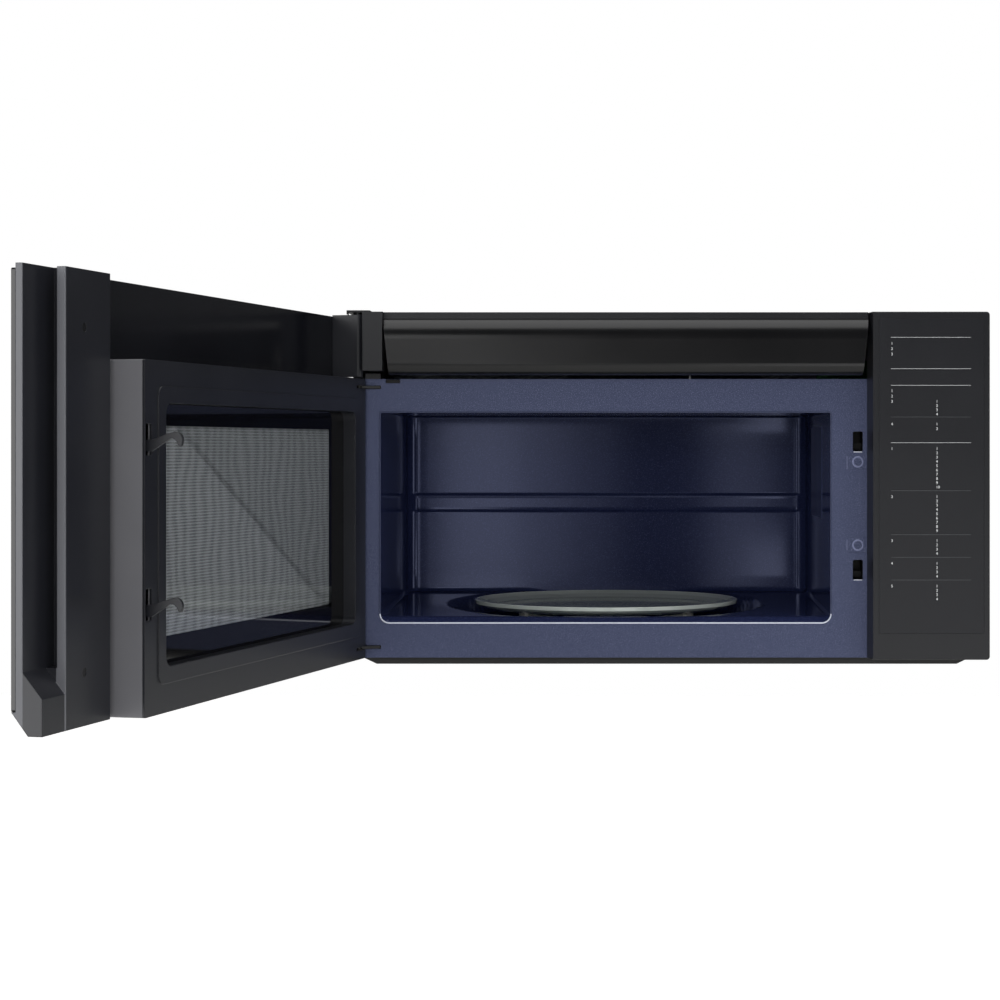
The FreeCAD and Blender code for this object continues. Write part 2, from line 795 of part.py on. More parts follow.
def front_mouldings():
    """Label panel, its film, the top rail with its end block, and the curved air deflector."""
    body = new_body("label_panel")
    plan = new_sketch(body, "XY_Plane", "base")
    outline(plan, [("side", "0 - plate_reach - seam_gap"), ("side", "0 - panel_reach"),
                   ("label_left", "0 - panel_reach"),
                   ("label_left - label_draft", "0 - plate_reach - seam_gap")])
    feature(body, "Pad", plan, "roof - base")
    round_edges(body, "label_corner", [("side", None, "base"), ("side", None, "roof")])
    round_edges(body, "edge_round", [("side", "0 - panel_reach", None)])
    hollow = new_sketch(body, "XZ_Plane", "plate_reach + seam_gap")
    rectangle(hollow, "label_left + label_wall", "side - label_wall", "base + label_wall",
              "roof - label_wall")
    cut(body, hollow, "panel_step - seam_gap - label_wall", reverse=True)
    recess = new_sketch(body, "XZ_Plane", "panel_reach")
    rectangle(recess, "label_left + film_margin", "side - film_margin", "floor + film_low",
              "roof - rail_height", "corner_small")
    cut(body, recess, "film_wall")
    keep(body, "label_panel")

    body = new_body("label_film")
    film = new_sketch(body, "XZ_Plane", "panel_reach - film_wall")
    rectangle(film, "label_left + film_margin + film_gap", "side - film_margin - film_gap",
              "floor + film_low + film_gap", "roof - rail_height - film_gap", "corner_small")
    feature(body, "Pad", film, "film_wall")
    keep(body, "label_film")

    body = new_body("top_rail")
    front = new_sketch(body, "XZ_Plane", "plate_reach + seam_gap")
    left, right, low = "0 - block_left", "0 - block_right", "floor + block_low"
    outline(front, [(left, low), (right, low), (right, "roof - rail_height"),
                    ("label_left - label_draft - seam_gap", "roof - rail_height"),
                    ("label_left - label_draft - seam_gap", "roof"), (left, "roof")])
    feature(body, "Pad", front, "panel_step - seam_gap")
    round_edges(body, "edge_round", [(left, "0 - panel_reach", None)])
    hollow = new_sketch(body, "XZ_Plane", "plate_reach + seam_gap")
    rectangle(hollow, left + " + label_wall", right + " - label_wall", low + " + label_wall",
              "roof - label_wall")
    cut(body, hollow, "panel_step - seam_gap - label_wall", reverse=True)
    band = new_sketch(body, "XZ_Plane", "panel_reach")
    rectangle(band, right + " + seam_gap", "label_left", "roof - rail_height - 1", "roof + 1")
    cut(body, band, "rail_setback")
    keep(body, "top_rail")

    body = new_body("air_deflector")
    profile = new_sketch(body, "YZ_Plane", "seam_gap - block_right")
    high, low = "roof - rail_height - seam_gap", "floor + deflector_low"
    near, wall = "0 - panel_reach + deflector_set", "deflector_wall"
    outline(profile,
            [(near + " + deflector_back", high), (near, high + " - deflector_roll"),
             (near, low + " + deflector_curl"), (near + " + deflector_curl", low),
             (near + " + deflector_curl", low + " + " + wall),
             (near + " + " + wall, low + " + deflector_curl"),
             (near + " + " + wall, high + " - deflector_roll"),
             (near + " + deflector_back + " + wall, high)],
            bends=[(0, "deflector_arc"), (2, "deflector_curl"), (4, "deflector_wall - deflector_curl"),
                   (6, "deflector_wall - deflector_arc")])
    feature(body, "Pad", profile, "label_left - label_draft - seam_gap + block_right - seam_gap")
    ends = new_sketch(body, "XZ_Plane", "panel_reach")
    for side, way in (("seam_gap - block_right", " + "), ("label_left - label_draft - seam_gap", " - ")):
        corners = [(side, low + " - 1"), (side + way + "deflector_taper", low + " - 1"), (side, high + " - 1")]
        outline(ends, corners if way == " + " else corners[::-1])
    cut(body, ends)
    keep(body, "air_deflector")


# ---------------------------------------------------------------- door

def door_shell():
    """Outer glass, the moulded frame behind it and the thick handle rail at the free edge."""
    left, right = "seam_gap - side", "side - seam_gap"
    low, high = "base + seam_gap", "roof - door_top_gap"
    body = new_body("door_glass")
    pane = new_sketch(body, "XZ_Plane", "door_front - glass_wall")
    rectangle(pane, left, right, low + " + bevel_rise", high, "corner_small")
    feature(body, "Pad", pane, "glass_wall")
    keep(hang(body), "door_glass")

    glass = "glass_wall + film_gap - door_front"
    lip = low + " + bevel_rise - film_gap"
    body = new_body("door_frame")
    section = new_sketch(body, "YZ_Plane", left)
    outline(section, [("0 - box_front", high), ("0 - box_front", low), ("bevel_depth - door_front", low),
                      ("0 - door_front", lip), (glass, lip), (glass, high)][::-1])
    feature(body, "Pad", section, "rail_start - seam_gap - (" + left + ")")
    hollow = new_sketch(body, "XZ_Plane", "door_front - glass_wall")
    rectangle(hollow, left + " + frame_rim", "rail_start - seam_gap - frame_rim",
              low + " + bevel_rise + frame_wall", high + " - frame_rim", "corner_small")
    cut(body, hollow, "door_depth - frame_recess - glass_wall - frame_wall")
    window = new_sketch(body, "XZ_Plane", "door_back")
    rectangle(window, "window_left", "window_right", "floor + window_low", "floor + window_high",
              "opening_corner")
    cut(body, window)
    keep(hang(body), "door_frame")

    body = new_body("handle_rail")
    top = "roof - seam_gap"
    section = new_sketch(body, "YZ_Plane", "rail_start")
    outline(section, [("0 - door_back", top), ("0 - door_back", low), ("bevel_depth - door_front", low),
                      ("0 - door_front", lip), (glass, lip), (glass, top)][::-1])
    feature(body, "Pad", section, "handle_width - seam_gap")
    round_edges(body, "edge_round", [("rail_start", "0 - door_back", None)])
    channel = new_sketch(body, "XY_Plane", "roof")
    wall, back = "grip_wall - door_front", "0 - door_back"
    outline(channel, [(right + " + 1", back + " + 1"), (right + " - grip_setback", back + " + 1"),
                      (right + " - grip_setback", back + " - grip_lip"),
                      (right + " - grip_depth", back + " - grip_lip"), (right + " - grip_depth", wall),
                      (right + " + 1", wall)])
    cut(body, channel, "body_height - grip_low - grip_slope")
    foot = new_sketch(body, "YZ_Plane", right + " - grip_setback")
    outline(foot, [(back + " + 1", "floor + grip_low"), (back + " + 1", "floor + grip_low + grip_slope + 1"),
                   (wall, "floor + grip_low + grip_slope + 1"), (wall, "floor + grip_low + grip_slope"),
                   (back, "floor + grip_low")])
    cut(body, foot, "grip_setback + 1", reverse=True)
    board = new_sketch(body, "XZ_Plane", "door_front - glass_wall")
    rectangle(board, "rail_start + frame_rim", right + " - grip_depth - frame_rim",
              low + " + bevel_rise + frame_rim", top + " - grip_low", "corner_small")
    cut(body, board, "board_wall + 2 * board_gap")
    holes = new_sketch(body, "XZ_Plane", "door_back")
    for height in ("screw_high", "screw_low"):
        circle(holes, "screw_side", "floor + " + height, "screw_size + film_gap")
    cut(body, holes, "panel_screw_head + seam_gap", reverse=True)
    keep(hang(body), "handle_rail")

    heads = [drum("screw_side", "door_back + panel_screw_head + seam_gap", "floor + " + height,
                  "screw_size", "panel_screw_head", "back") for height in ("screw_high", "screw_low")]
    keep(hang(group(heads)), "handle_screws")
    board = block("rail_start + frame_rim + corner_small / 2",
                  right + " - grip_depth - frame_rim - corner_small / 2",
                  "door_front - glass_wall - 2 * board_gap",
                  "door_front - glass_wall - 2 * board_gap - board_wall",
                  low + " + bevel_rise + frame_rim + corner_small / 2", top + " - grip_low - corner_small / 2")
    keep(hang(group([board])), "touch_board")


def hinge_cuts(body):
    for height in ("leaf_high", "leaf_low"):
        room = new_sketch(body, "XY_Plane", "floor + " + height)
        circle(room, "0 - hinge_side", "0 - hinge_reach", "leaf_sweep")
        cut(body, room, "leaf_wall + 2 * seam_gap", middle=True)


def hook_cuts(body):
    slots = new_sketch(body, "XZ_Plane", "box_joint")
    for height in ("latch_high", "latch_low"):
        rectangle(slots, "latch_middle - hook_wall / 2 - hook_side", "latch_middle + hook_wall / 2 + hook_side",
                  "floor + " + height + " - latch_height / 2 - board_gap",
                  "floor + " + height + " + latch_height / 2 + board_gap", "corner_small")
    cut(body, slots, "2 * (cover_depth + box_wall)", middle=True)


def recess(sketch, spread):
    """The outline of the sunk window, grown by spread."""
    rectangle(sketch, "recess_left - " + spread, "recess_right + " + spread, "recess_low - " + spread,
              "recess_high + " + spread, "(opening_corner + " + spread + ")")


def door_box():
    """Inner choke box: steel tray, moulded cover with a sunk window, window screen and inner glass."""
    left, right = "box_inset - side", "box_right"
    low, high = "base + seam_gap", "base + box_rise"
    body = new_body("choke_frame")
    frame = new_sketch(body, "XZ_Plane", "box_joint")
    rectangle(frame, left, right, low, high, "corner_small")
    feature(body, "Pad", frame, "box_front - box_joint")
    hollow = new_sketch(body, "XZ_Plane", "box_front")
    rectangle(hollow, "leaf_right + board_gap", right + " - box_wall", low + " + box_wall",
              high + " - box_wall", "corner_small")
    cut(body, hollow, "box_front - box_joint - box_wall")
    window = new_sketch(body, "XZ_Plane", "box_joint")
    recess(window, "(rim_wall + film_gap)")
    cut(body, window)
    hinge_cuts(body)
    for height in ("leaf_high", "leaf_low"):
        bore = new_sketch(body, "XY_Plane", "floor + " + height)
        circle(bore, "0 - hinge_side", "0 - hinge_reach", "bush_size")
        cut(body, bore, "bush_span", middle=True)
    hook_cuts(body)
    posts = new_sketch(body, "YZ_Plane", right + " - box_wall / 2")
    for sign in (" - ", " + "):
        circle(posts, "0 - key_back - key_depth / 2",
               "floor + (latch_high + latch_low) / 2" + sign + "post_spread / 2", "post_size")
    feature(body, "Pad", posts, right + " - box_wall / 2 - latch_middle + hook_wall", reverse=True)
    ledge = new_sketch(body, "YZ_Plane", right + " - box_wall / 2")
    rectangle(ledge, "0 - key_back - key_depth", "0 - key_back",
              "key_foot - spring_length - board_gap", "key_foot - spring_length")
    feature(body, "Pad", ledge, right + " - box_wall / 2 - latch_middle + spring_size", reverse=True)
    keep(hang(body), "choke_frame")

    body = new_body("choke_cover")
    cover = new_sketch(body, "XZ_Plane", "box_back + seal_rib")
    rectangle(cover, left, right, low, high, "corner_small")
    feature(body, "Pad", cover, "cover_depth - seal_rib")
    panel = new_sketch(body, "XZ_Plane", "box_back")
    rectangle(panel, "seal_left", "seal_right", "floor + seal_low", "floor + seal_high", "opening_corner")
    feature(body, "Pad", panel, "seal_rib")
    rim = new_sketch(body, "XZ_Plane", "box_back + seal_rib")
    recess(rim, "rim_wall")
    feature(body, "Pad", rim, "recess_depth + pane_wall - seal_rib")
    window = new_sketch(body, "XZ_Plane", "box_joint")
    recess(window, "0")
    cut(body, window)
    hinge_cuts(body)
    hook_cuts(body)
    keep(hang(body), "choke_cover")

    body = new_body("inner_glass")
    pane = new_sketch(body, "XZ_Plane", "recess_back")
    recess(pane, "(0 - film_gap / 2)")
    feature(body, "Pad", pane, "pane_wall")
    keep(hang(body), "inner_glass")
    screen = block("recess_left - rim_wall", "recess_right + rim_wall", "recess_back + pane_wall + mesh_wall",
                   "recess_back + pane_wall", "recess_low - rim_wall", "recess_high + rim_wall")
    keep(hang(group([screen])), "window_mesh")


def latch():
    """One sprung key carries both hooks, which drop behind ledges inside the latch body."""
    body = new_body("latch_key")
    plate = new_sketch(body, "YZ_Plane", "latch_middle")
    tip, back, front = "0 - hook_end", "0 - key_back", "0 - key_back - key_depth"
    path = [(front, "key_foot"), (back, "key_foot")]
    arcs = []
    for height in ("latch_low", "latch_high"):
        middle = "floor + " + height
        root, point = middle + " - hook_root", middle + " - hook_drop"
        arcs += [(len(path) + 2, "0 - hook_arch"), (len(path) + 6, "hook_round")]
        path += [(back, root), ("move_gap - box_back", root),
                 (tip + " - hook_nose - hook_span", middle + " - hook_point"),
                 (tip + " - hook_nose", middle + " - hook_point"), (tip + " - hook_tip", point),
                 (tip + " - hook_point", point), (tip, middle + " - hook_point"),
                 (tip + " - hook_round", middle + " + hook_crown"), ("move_gap - box_back", middle),
                 (back, middle)]
    path += [(back, "floor + latch_high + key_end"), (front, "floor + latch_high + key_end")]
    outline(plate, path, arcs)
    feature(body, "Pad", plate, "hook_wall", middle=True)
    slots = new_sketch(body, "YZ_Plane", "latch_middle")
    for sign in (" - ", " + "):
        middle = "floor + (latch_high + latch_low) / 2" + sign + "post_spread / 2"
        rectangle(slots, "0 - key_back - key_depth / 2 - post_size - seam_gap",
                  "0 - key_back - key_depth / 2 + post_size + seam_gap",
                  middle + " - post_size - seam_gap - hook_travel", middle + " + post_size + seam_gap")
    cut(body, slots, "hook_wall + 2", middle=True)
    keep(hang(body), "latch_key")

    coil = doc.addObject("Part::Helix", "spring_path")
    bind(coil, "Pitch", "spring_pitch")
    bind(coil, "Height", "spring_length - 2 * spring_wire - 2 * film_gap")
    bind(coil, "Radius", "spring_size - spring_wire")
    wire = doc.addObject("Part::Circle", "spring_section")
    wire.Placement = FreeCAD.Placement(vector(0, 0), FreeCAD.Rotation(vector(1, 0), 90))
    bind(wire, "Radius", "spring_wire")
    bind(wire, "Placement.Base.x", "spring_size - spring_wire")
    spring = doc.addObject("Part::Sweep", "spring_coil")
    spring.Sections = [wire]
    spring.Spine = (coil, ["Edge%d" % (index + 1) for index in range(len(coil_edges(coil)))])
    spring.Solid = True
    spring.Frenet = True
    place = group([spring], "spring_place")
    bind(place, "Placement.Base.x", "latch_middle")
    bind(place, "Placement.Base.y", "0 - key_back - key_depth / 2")
    bind(place, "Placement.Base.z", "key_foot - spring_length + spring_wire + film_gap")
    keep(hang(group([place])), "latch_spring")

    housing = block("latch_middle - latch_left", "latch_middle + latch_right", "plate_reach - sheet_wall",
                    "plate_reach - sheet_wall - latch_depth", "floor + latch_low - latch_end - hook_root",
                    "floor + latch_high + latch_end")
    rooms = []
    for height in ("latch_high", "latch_low"):
        middle = "floor + " + height
        left, right = "latch_middle - latch_width / 2", "latch_middle + latch_width / 2"
        room = block(left, right, "plate_reach", "hook_end - board_gap", middle + " - latch_height / 2",
                     middle + " + latch_height / 2 + board_gap")
        edge = "hook_end + hook_nose + move_gap / 2"
        ledge = block(left + " - 1", right + " + 1", edge + " + catch_depth", edge,
                      middle + " - catch_top - catch_height", middle + " - catch_top")
        rooms.append(less(room, [ledge], "hook_room"))
    for height in ("panel_screw_high", "panel_screw_low"):
        rooms.append(drum("latch_middle", "plate_reach", "floor + " + height, "shank_size", "latch_depth / 2",
                          "back"))
    keep(less(housing, rooms), "latch_body")
    screws = []
    for height in ("panel_screw_high", "panel_screw_low"):
        screws.append(join([
            drum("latch_middle", "plate_reach + pad_rise + panel_screw_head", "floor + " + height, "screw_size",
                 "panel_screw_head", "back"),
            drum("latch_middle", "plate_reach + pad_rise", "floor + " + height, "shank_size",
                 "latch_depth / 2", "back")]))
    keep(group(screws), "latch_screws")
    back = "plate_reach - sheet_wall - latch_depth"
    switches = [block("latch_middle - switch_wall / 2", "latch_middle + switch_wall / 2", back,
                      back + " - switch_depth", "floor + " + height + " - switch_height / 2",
                      "floor + " + height + " + switch_height / 2") for height in ("latch_high", "latch_low")]
    keep(group(switches), "interlock_switches")


def coil_edges(coil):
    doc.recompute()
    return coil.Shape.Edges


def hinge():
    """Two leaves through the face plate, their pins, the top bracket and the door's own hinge pieces."""
    axis_x, axis_y = "0 - hinge_side", "0 - hinge_reach"
    for label, height in (("hinge_leaf_upper", "leaf_high"), ("hinge_leaf_lower", "leaf_low")):
        body = new_body(label)
        low = "floor + " + height + " - leaf_wall / 2"
        leaf = new_sketch(body, "XY_Plane", low)
        eye = "bush_size"
        root = "leaf_root - plate_reach"
        inner = "leaf_left + flange_width - seam_gap"
        outline(leaf, [(inner, "seam_gap - plate_reach"), (axis_x + " - " + eye, "0 - plate_reach - seam_gap"),
                       (axis_x + " - " + eye, axis_y), (axis_x, axis_y + " - " + eye),
                       (axis_x + " + " + eye, axis_y),
                       ("leaf_right", "0 - plate_reach - sheet_wall"), ("leaf_right", root), (inner, root)],
                bends=[(2, eye), (3, eye)])
        feature(body, "Pad", leaf, "leaf_wall")
        tab = new_sketch(body, "XZ_Plane", "plate_reach - sheet_wall - leaf_wall")
        rectangle(tab, inner, "leaf_right", low, low + " + leaf_tab")
        feature(body, "Pad", tab, "leaf_wall")
        bore = new_sketch(body, "XY_Plane", low)
        circle(bore, axis_x, axis_y, "pin_size")
        cut(body, bore)
        keep(body, label)
    heights = ("leaf_high", "leaf_low")
    keep(group([drum(axis_x, "hinge_reach", "floor + " + height + " - bush_span / 2", "pin_size", "bush_span")
                for height in heights]), "hinge_pins")
    rings = []
    for height in heights:
        for foot in (" - bush_span / 2", " + leaf_wall / 2 + seam_gap"):
            rings.append(less(
                drum(axis_x, "hinge_reach", "floor + " + height + foot, "bush_size", "bush_height"),
                [drum(axis_x, "hinge_reach", "floor + " + height + foot + " - 1", "pin_size + pin_fit",
                      "bush_height + 2")]))
    keep(hang(group(rings)), "hinge_bushes")

    body = new_body("hinge_block")
    plan = new_sketch(body, "XY_Plane", "floor + block_foot")
    left = axis_x + " - block_shift - block_width / 2"
    right = axis_x + " - block_shift + block_width / 2"
    outline(plan, [(left, "0 - box_front"), (right, "0 - box_front"), (right, axis_y),
                   (axis_x + " - block_shift", axis_y + " + block_width / 2"), (left, axis_y)],
            bends=[(2, "block_width / 2"), (3, "block_width / 2")])
    feature(body, "Pad", plan, "block_head - block_foot")
    bore = new_sketch(body, "XY_Plane", "floor + block_head")
    circle(bore, axis_x, axis_y, "pin_size + pin_fit")
    cut(body, bore, "top_pin")
    keep(hang(body), "hinge_block")

    body = new_body("hinge_bracket_top")
    plan = new_sketch(body, "XY_Plane", "roof")
    left, right, front = axis_x + " - bracket_left", axis_x + " + bracket_right", axis_y + " - bush_size"
    outline(plan, [(left, front), (right + " - corner_small", front), (right, front + " + corner_small"),
                   (right, "bracket_root - plate_reach"), (left, "bracket_root - plate_reach")])
    feature(body, "Pad", plan, "bracket_wall")
    lip = new_sketch(body, "YZ_Plane", left)
    rectangle(lip, front, "0 - plate_reach", "roof - bracket_lip", "roof + bracket_wall")
    feature(body, "Pad", lip, "sheet_wall")
    pin = new_sketch(body, "XY_Plane", "roof + bracket_wall / 2")
    circle(pin, axis_x, axis_y, "pin_size")
    feature(body, "Pad", pin, "top_pin", reverse=True)
    head = new_sketch(body, "XY_Plane", "roof + bracket_wall")
    circle(head, axis_x + " + bracket_right / 2", "leaf_root - plate_reach", "screw_size")
    feature(body, "Pad", head, "panel_screw_head")
    keep(body, "hinge_bracket_top")


# ---------------------------------------------------------------- turntable

def spun(label, profile, bends=(), base_x="opening_middle", base_y="0 - well_reach"):
    """A body turned about its own upright axis, standing at a place on the plan."""
    body = new_body(label)
    bind(body, "Placement.Base.x", base_x)
    bind(body, "Placement.Base.y", base_y)
    sketch = new_sketch(body, "XZ_Plane")
    outline(sketch, profile, bends)
    turn = body.newObject("PartDesign::Revolution", label + "_turn")
    turn.Profile = sketch
    turn.ReferenceAxis = (sketch, ["V_Axis"])
    bind(turn, "Angle", "360")
    sketch.Visibility = False
    return body


def turntable():
    """Glass tray on a three-armed coupler, over a ring on three rollers."""
    top = "tray_floor + tray_wall"
    rim = "tray_floor + tray_height"
    keep(spun("glass_tray", [
        ("0", "tray_floor"), ("tray_size - tray_lip", "tray_floor"),
        ("tray_size - tray_lip / 3", "tray_floor + tray_height / 3"), ("tray_size", rim + " - tray_wall"),
        ("tray_size", rim), ("tray_size - tray_wall", rim),
        ("tray_size - tray_wall - tray_lip / 3", "tray_floor + tray_height / 3 + tray_wall"),
        ("tray_size - tray_lip - tray_wall / 2", top), ("0", top)]), "glass_tray")

    foot = "floor + well_floor + sheet_wall"
    body = spun("turntable_coupler", [
        ("0", "floor + well_floor - motor_height / 2"), ("shaft_size", "floor + well_floor - motor_height / 2"),
        ("shaft_size", foot), ("coupler_hub", foot), ("coupler_hub", "tray_floor"), ("0", "tray_floor")])
    arm = new_sketch(body, "XY_Plane", "tray_floor - coupler_arm")
    rectangle(arm, "0", "coupler_size", "0 - coupler_arm / 2", "coupler_arm / 2")
    item = feature(body, "Pad", arm, "coupler_arm")
    doc.recompute()
    pattern = body.newObject("PartDesign::PolarPattern", "coupler_arms")
    pattern.Originals = [item]
    pattern.Axis = (arm, ["N_Axis"])
    pattern.Angle = 360
    pattern.Occurrences = 3
    body.Tip = pattern
    keep(body, "turntable_coupler")

    low, high = "ring_middle - ring_height / 2", "ring_middle + ring_height / 2"
    outer = "ring_size - ring_wall - seam_gap"
    body = spun("roller_ring", [(outer + " - ring_wall", low), (outer, low), (outer, high),
                                (outer + " - ring_wall", high)])
    axle = new_sketch(body, "XZ_Plane", "ring_size - ring_wall - 2 * seam_gap")
    circle(axle, "0", "ring_middle", "axle_size")
    item = feature(body, "Pad", axle, "ring_wall + roller_lap + 3 * seam_gap")
    doc.recompute()
    pattern = body.newObject("PartDesign::PolarPattern", "roller_axles")
    pattern.Originals = [item]
    upright = [thing for thing in body.Origin.OriginFeatures if thing.Role == "Z_Axis"][0]
    pattern.Axis = (upright, [""])
    pattern.Angle = 360
    pattern.Occurrences = 3
    body.Tip = pattern
    bind(body, "Placement.Rotation.Angle", "180")
    keep(body, "roller_ring")
    for index, angle in enumerate((90, 210, 330), start=1):
        wheels = []
        for radius, start, length in (("roller_size", "ring_size - roller_width / 2", "roller_width"),
                                      ("axle_size + pin_fit", "ring_size - roller_width", "2 * roller_width")):
            wheel = doc.addObject("Part::Cylinder", "roller")
            wheel.Placement = FreeCAD.Placement(
                vector(0, 0), FreeCAD.Rotation(vector(0, 0, 1), angle) * FreeCAD.Rotation(vector(0, 1), 90))
            bind(wheel, "Radius", radius)
            bind(wheel, "Height", length)
            bind(wheel, "Placement.Base.x", "opening_middle + (%s) * cos(%d)" % (start, angle))
            bind(wheel, "Placement.Base.y", "0 - well_reach + (%s) * sin(%d)" % (start, angle))
            bind(wheel, "Placement.Base.z", "ring_middle")
            wheels.append(wheel)
        keep(less(wheels[0], [wheels[1]]), "roller_%d" % index)
    under = "floor + well_floor - sheet_wall"
    motor = drum("opening_middle", "well_reach", under + " - motor_height", "motor_size", "motor_height")
    ears = block("opening_middle - motor_size - screw_size * 2", "opening_middle + motor_size + screw_size * 2",
                 "well_reach + screw_size", "well_reach - screw_size", under + " - sheet_wall", under)
    shaft = drum("opening_middle", "well_reach", under + " - motor_height / 2", "shaft_size + pin_fit",
                 "motor_height")
    keep(less(join([motor, ears]), [shaft]), "turntable_motor")


# ---------------------------------------------------------------- vent, filters and lamps

def vent():
    """Two squirrel-cage wheels on one shaft, in a double scroll that blows out through the top."""
    centre = "floor + blower_height"
    room = "wheel_size + scroll_gap"
    roof_low = "roof - sheet_wall"

    def scroll(left, length, extra, top, name):
        size = "(" + room + " + " + extra + ")"
        middle = "0 - blower_reach"
        return prism("YZ", left, length,
                     [(middle + " - " + size, top), (middle + " - " + size, centre),
                      (middle, centre + " - " + size), (middle + " + " + size, centre),
                      (middle + " + " + size, top)],
                     [(1, size), (2, size)], name)

    half = "exhaust_width / 2"
    shell = scroll("0 - exhaust_width / 2 - scroll_wall", "exhaust_width + 2 * scroll_wall", "scroll_wall",
                   roof_low, "scroll_shell")
    chamber = "(exhaust_width / 2 - motor_half - 2 * scroll_wall)"
    cutters = [scroll("0 - " + half, chamber, "0", "roof", "scroll_left"),
               scroll(half + " - " + chamber, chamber, "0", "roof", "scroll_right"),
               block("0 - motor_half", "motor_half", "blower_reach + wheel_size + 2 * scroll_gap",
                     "blower_reach - wheel_size - 2 * scroll_gap", centre + " - wheel_size - 2 * scroll_gap",
                     roof_low + " - scroll_gap"),
               drum("0 - exhaust_width", "blower_reach", centre, "wheel_size - scroll_gap",
                    "2 * exhaust_width", "right")]
    keep(less(shell, cutters), "vent_blower_housing")

    motor = drum("0 - motor_half + scroll_gap", "blower_reach", centre, "blower_motor",
                 "2 * (motor_half - scroll_gap)", "right")
    post = block("0 - screw_size", "screw_size", "blower_reach + screw_size", "blower_reach - screw_size",
                 centre, roof_low + " - scroll_gap")
    bore = drum("0 - exhaust_width", "blower_reach", centre, "wheel_shaft + pin_fit", "2 * exhaust_width",
                "right")
    keep(less(join([motor, post]), [bore]), "vent_blower_motor")

    wheels = []
    for label, sign in (("left", "0 - "), ("right", "")):
        body = new_body("vent_wheel_" + label)
        bind(body, "Placement.Base.x", sign + "(motor_half + 2 * scroll_wall + %s / 2)" % chamber)
        bind(body, "Placement.Base.y", "0 - blower_reach")
        bind(body, "Placement.Base.z", centre)
        disc = new_sketch(body, "YZ_Plane")
        circle(disc, "0", "0", "wheel_size")
        feature(body, "Pad", disc, "scroll_wall", middle=True)
        hub = new_sketch(body, "YZ_Plane")
        circle(hub, "0", "0", "2 * wheel_shaft")
        feature(body, "Pad", hub, "wheel_width / 3", middle=True)
        for foot in ("wheel_width / 2 - scroll_wall", "0 - wheel_width / 2"):
            ring = new_sketch(body, "YZ_Plane", foot)
            circle(ring, "0", "0", "wheel_size")
            circle(ring, "0", "0", "wheel_size - blade_depth")
            feature(body, "Pad", ring, "scroll_wall")
        blade = new_sketch(body, "YZ_Plane")
        rectangle(blade, "wheel_size - blade_depth", "wheel_size - blade_wall", "0 - blade_wall / 2",
                  "blade_wall / 2")
        item = feature(body, "Pad", blade, "wheel_width", middle=True)
        doc.recompute()
        pattern = body.newObject("PartDesign::PolarPattern", "wheel_blades")
        pattern.Originals = [item]
        pattern.Axis = (blade, ["N_Axis"])
        pattern.Angle = 360
        bind(pattern, "Occurrences", "blade_count")
        body.Tip = pattern
        wheels.append(body)
    shaft = drum("0 - exhaust_width / 2", "blower_reach", centre, "wheel_shaft", "exhaust_width", "right")
    keep(join(wheels + [shaft]), "vent_blower_wheels")

    keep(block("opening_middle - charcoal_width / 2", "opening_middle + charcoal_width / 2",
               "charcoal_reach + charcoal_depth / 2", "charcoal_reach - charcoal_depth / 2",
               "floor + opening_high + sheet_wall", "floor + opening_high + sheet_wall + charcoal_height"),
         "charcoal_filter")
    for label, sign in (("left", "0 - "), ("right", "")):
        middle = sign + "filter_spread / 2"
        body = new_body("grease_filter_" + label)
        pad = new_sketch(body, "XY_Plane", "floor + sheet_wall + seam_gap")
        rectangle(pad, middle + " - filter_width / 2", middle + " + filter_width / 2",
                  "0 - filter_reach - filter_depth / 2", "filter_depth / 2 - filter_reach", "corner_small")
        feature(body, "Pad", pad, "filter_wall")
        keep(body, "grease_filter_" + label)
    lamps = []
    lenses = []
    for sign in ("0 - ", ""):
        middle = sign + "lamp_spread / 2"
        lenses.append(block(middle + " - lamp_width / 2", middle + " + lamp_width / 2",
                            "lamp_reach + lamp_depth / 2", "lamp_reach - lamp_depth / 2",
                            "floor + sheet_wall", "floor + sheet_wall + lens_wall"))
        high = "floor + sheet_wall + lens_wall + bulb_rise"
        bulb = drum(middle + " - lamp_width / 3", "lamp_reach", high, "bulb_size", "lamp_width / 2", "right")
        socket = block(middle + " + lamp_width / 6", middle + " + lamp_width / 2", "lamp_reach + bulb_size",
                       "lamp_reach - bulb_size", "floor + sheet_wall + lens_wall", high + " + bulb_size")
        lamps.append(join([bulb, socket]))
    keep(group(lamps), "cooktop_lamps")
    keep(group(lenses), "lamp_lenses")
    keep(drum("opening_right + sheet_wall", "cavity_bulb_reach", "floor + cavity_bulb_rise", "bulb_size",
              "waveguide_depth", "right"), "cavity_lamp")
    keep(drum("sensor_side", "cavity_bulb_reach", "floor + opening_high + sheet_wall", "sensor_size",
              "sensor_size * 2"), "steam_sensor")
    collar = drum("cord_side", "cord_reach", "roof", "cord_size + bush_flange", "bush_flange")
    neck = drum("cord_side", "cord_reach", "roof - 2 * bush_flange", "cord_size", "2 * bush_flange")
    bore = drum("cord_side", "cord_reach", "roof - 4 * bush_flange", "cord_bore", "8 * bush_flange")
    keep(less(join([collar, neck]), [bore]), "cord_bush")


# ---------------------------------------------------------------- service bay

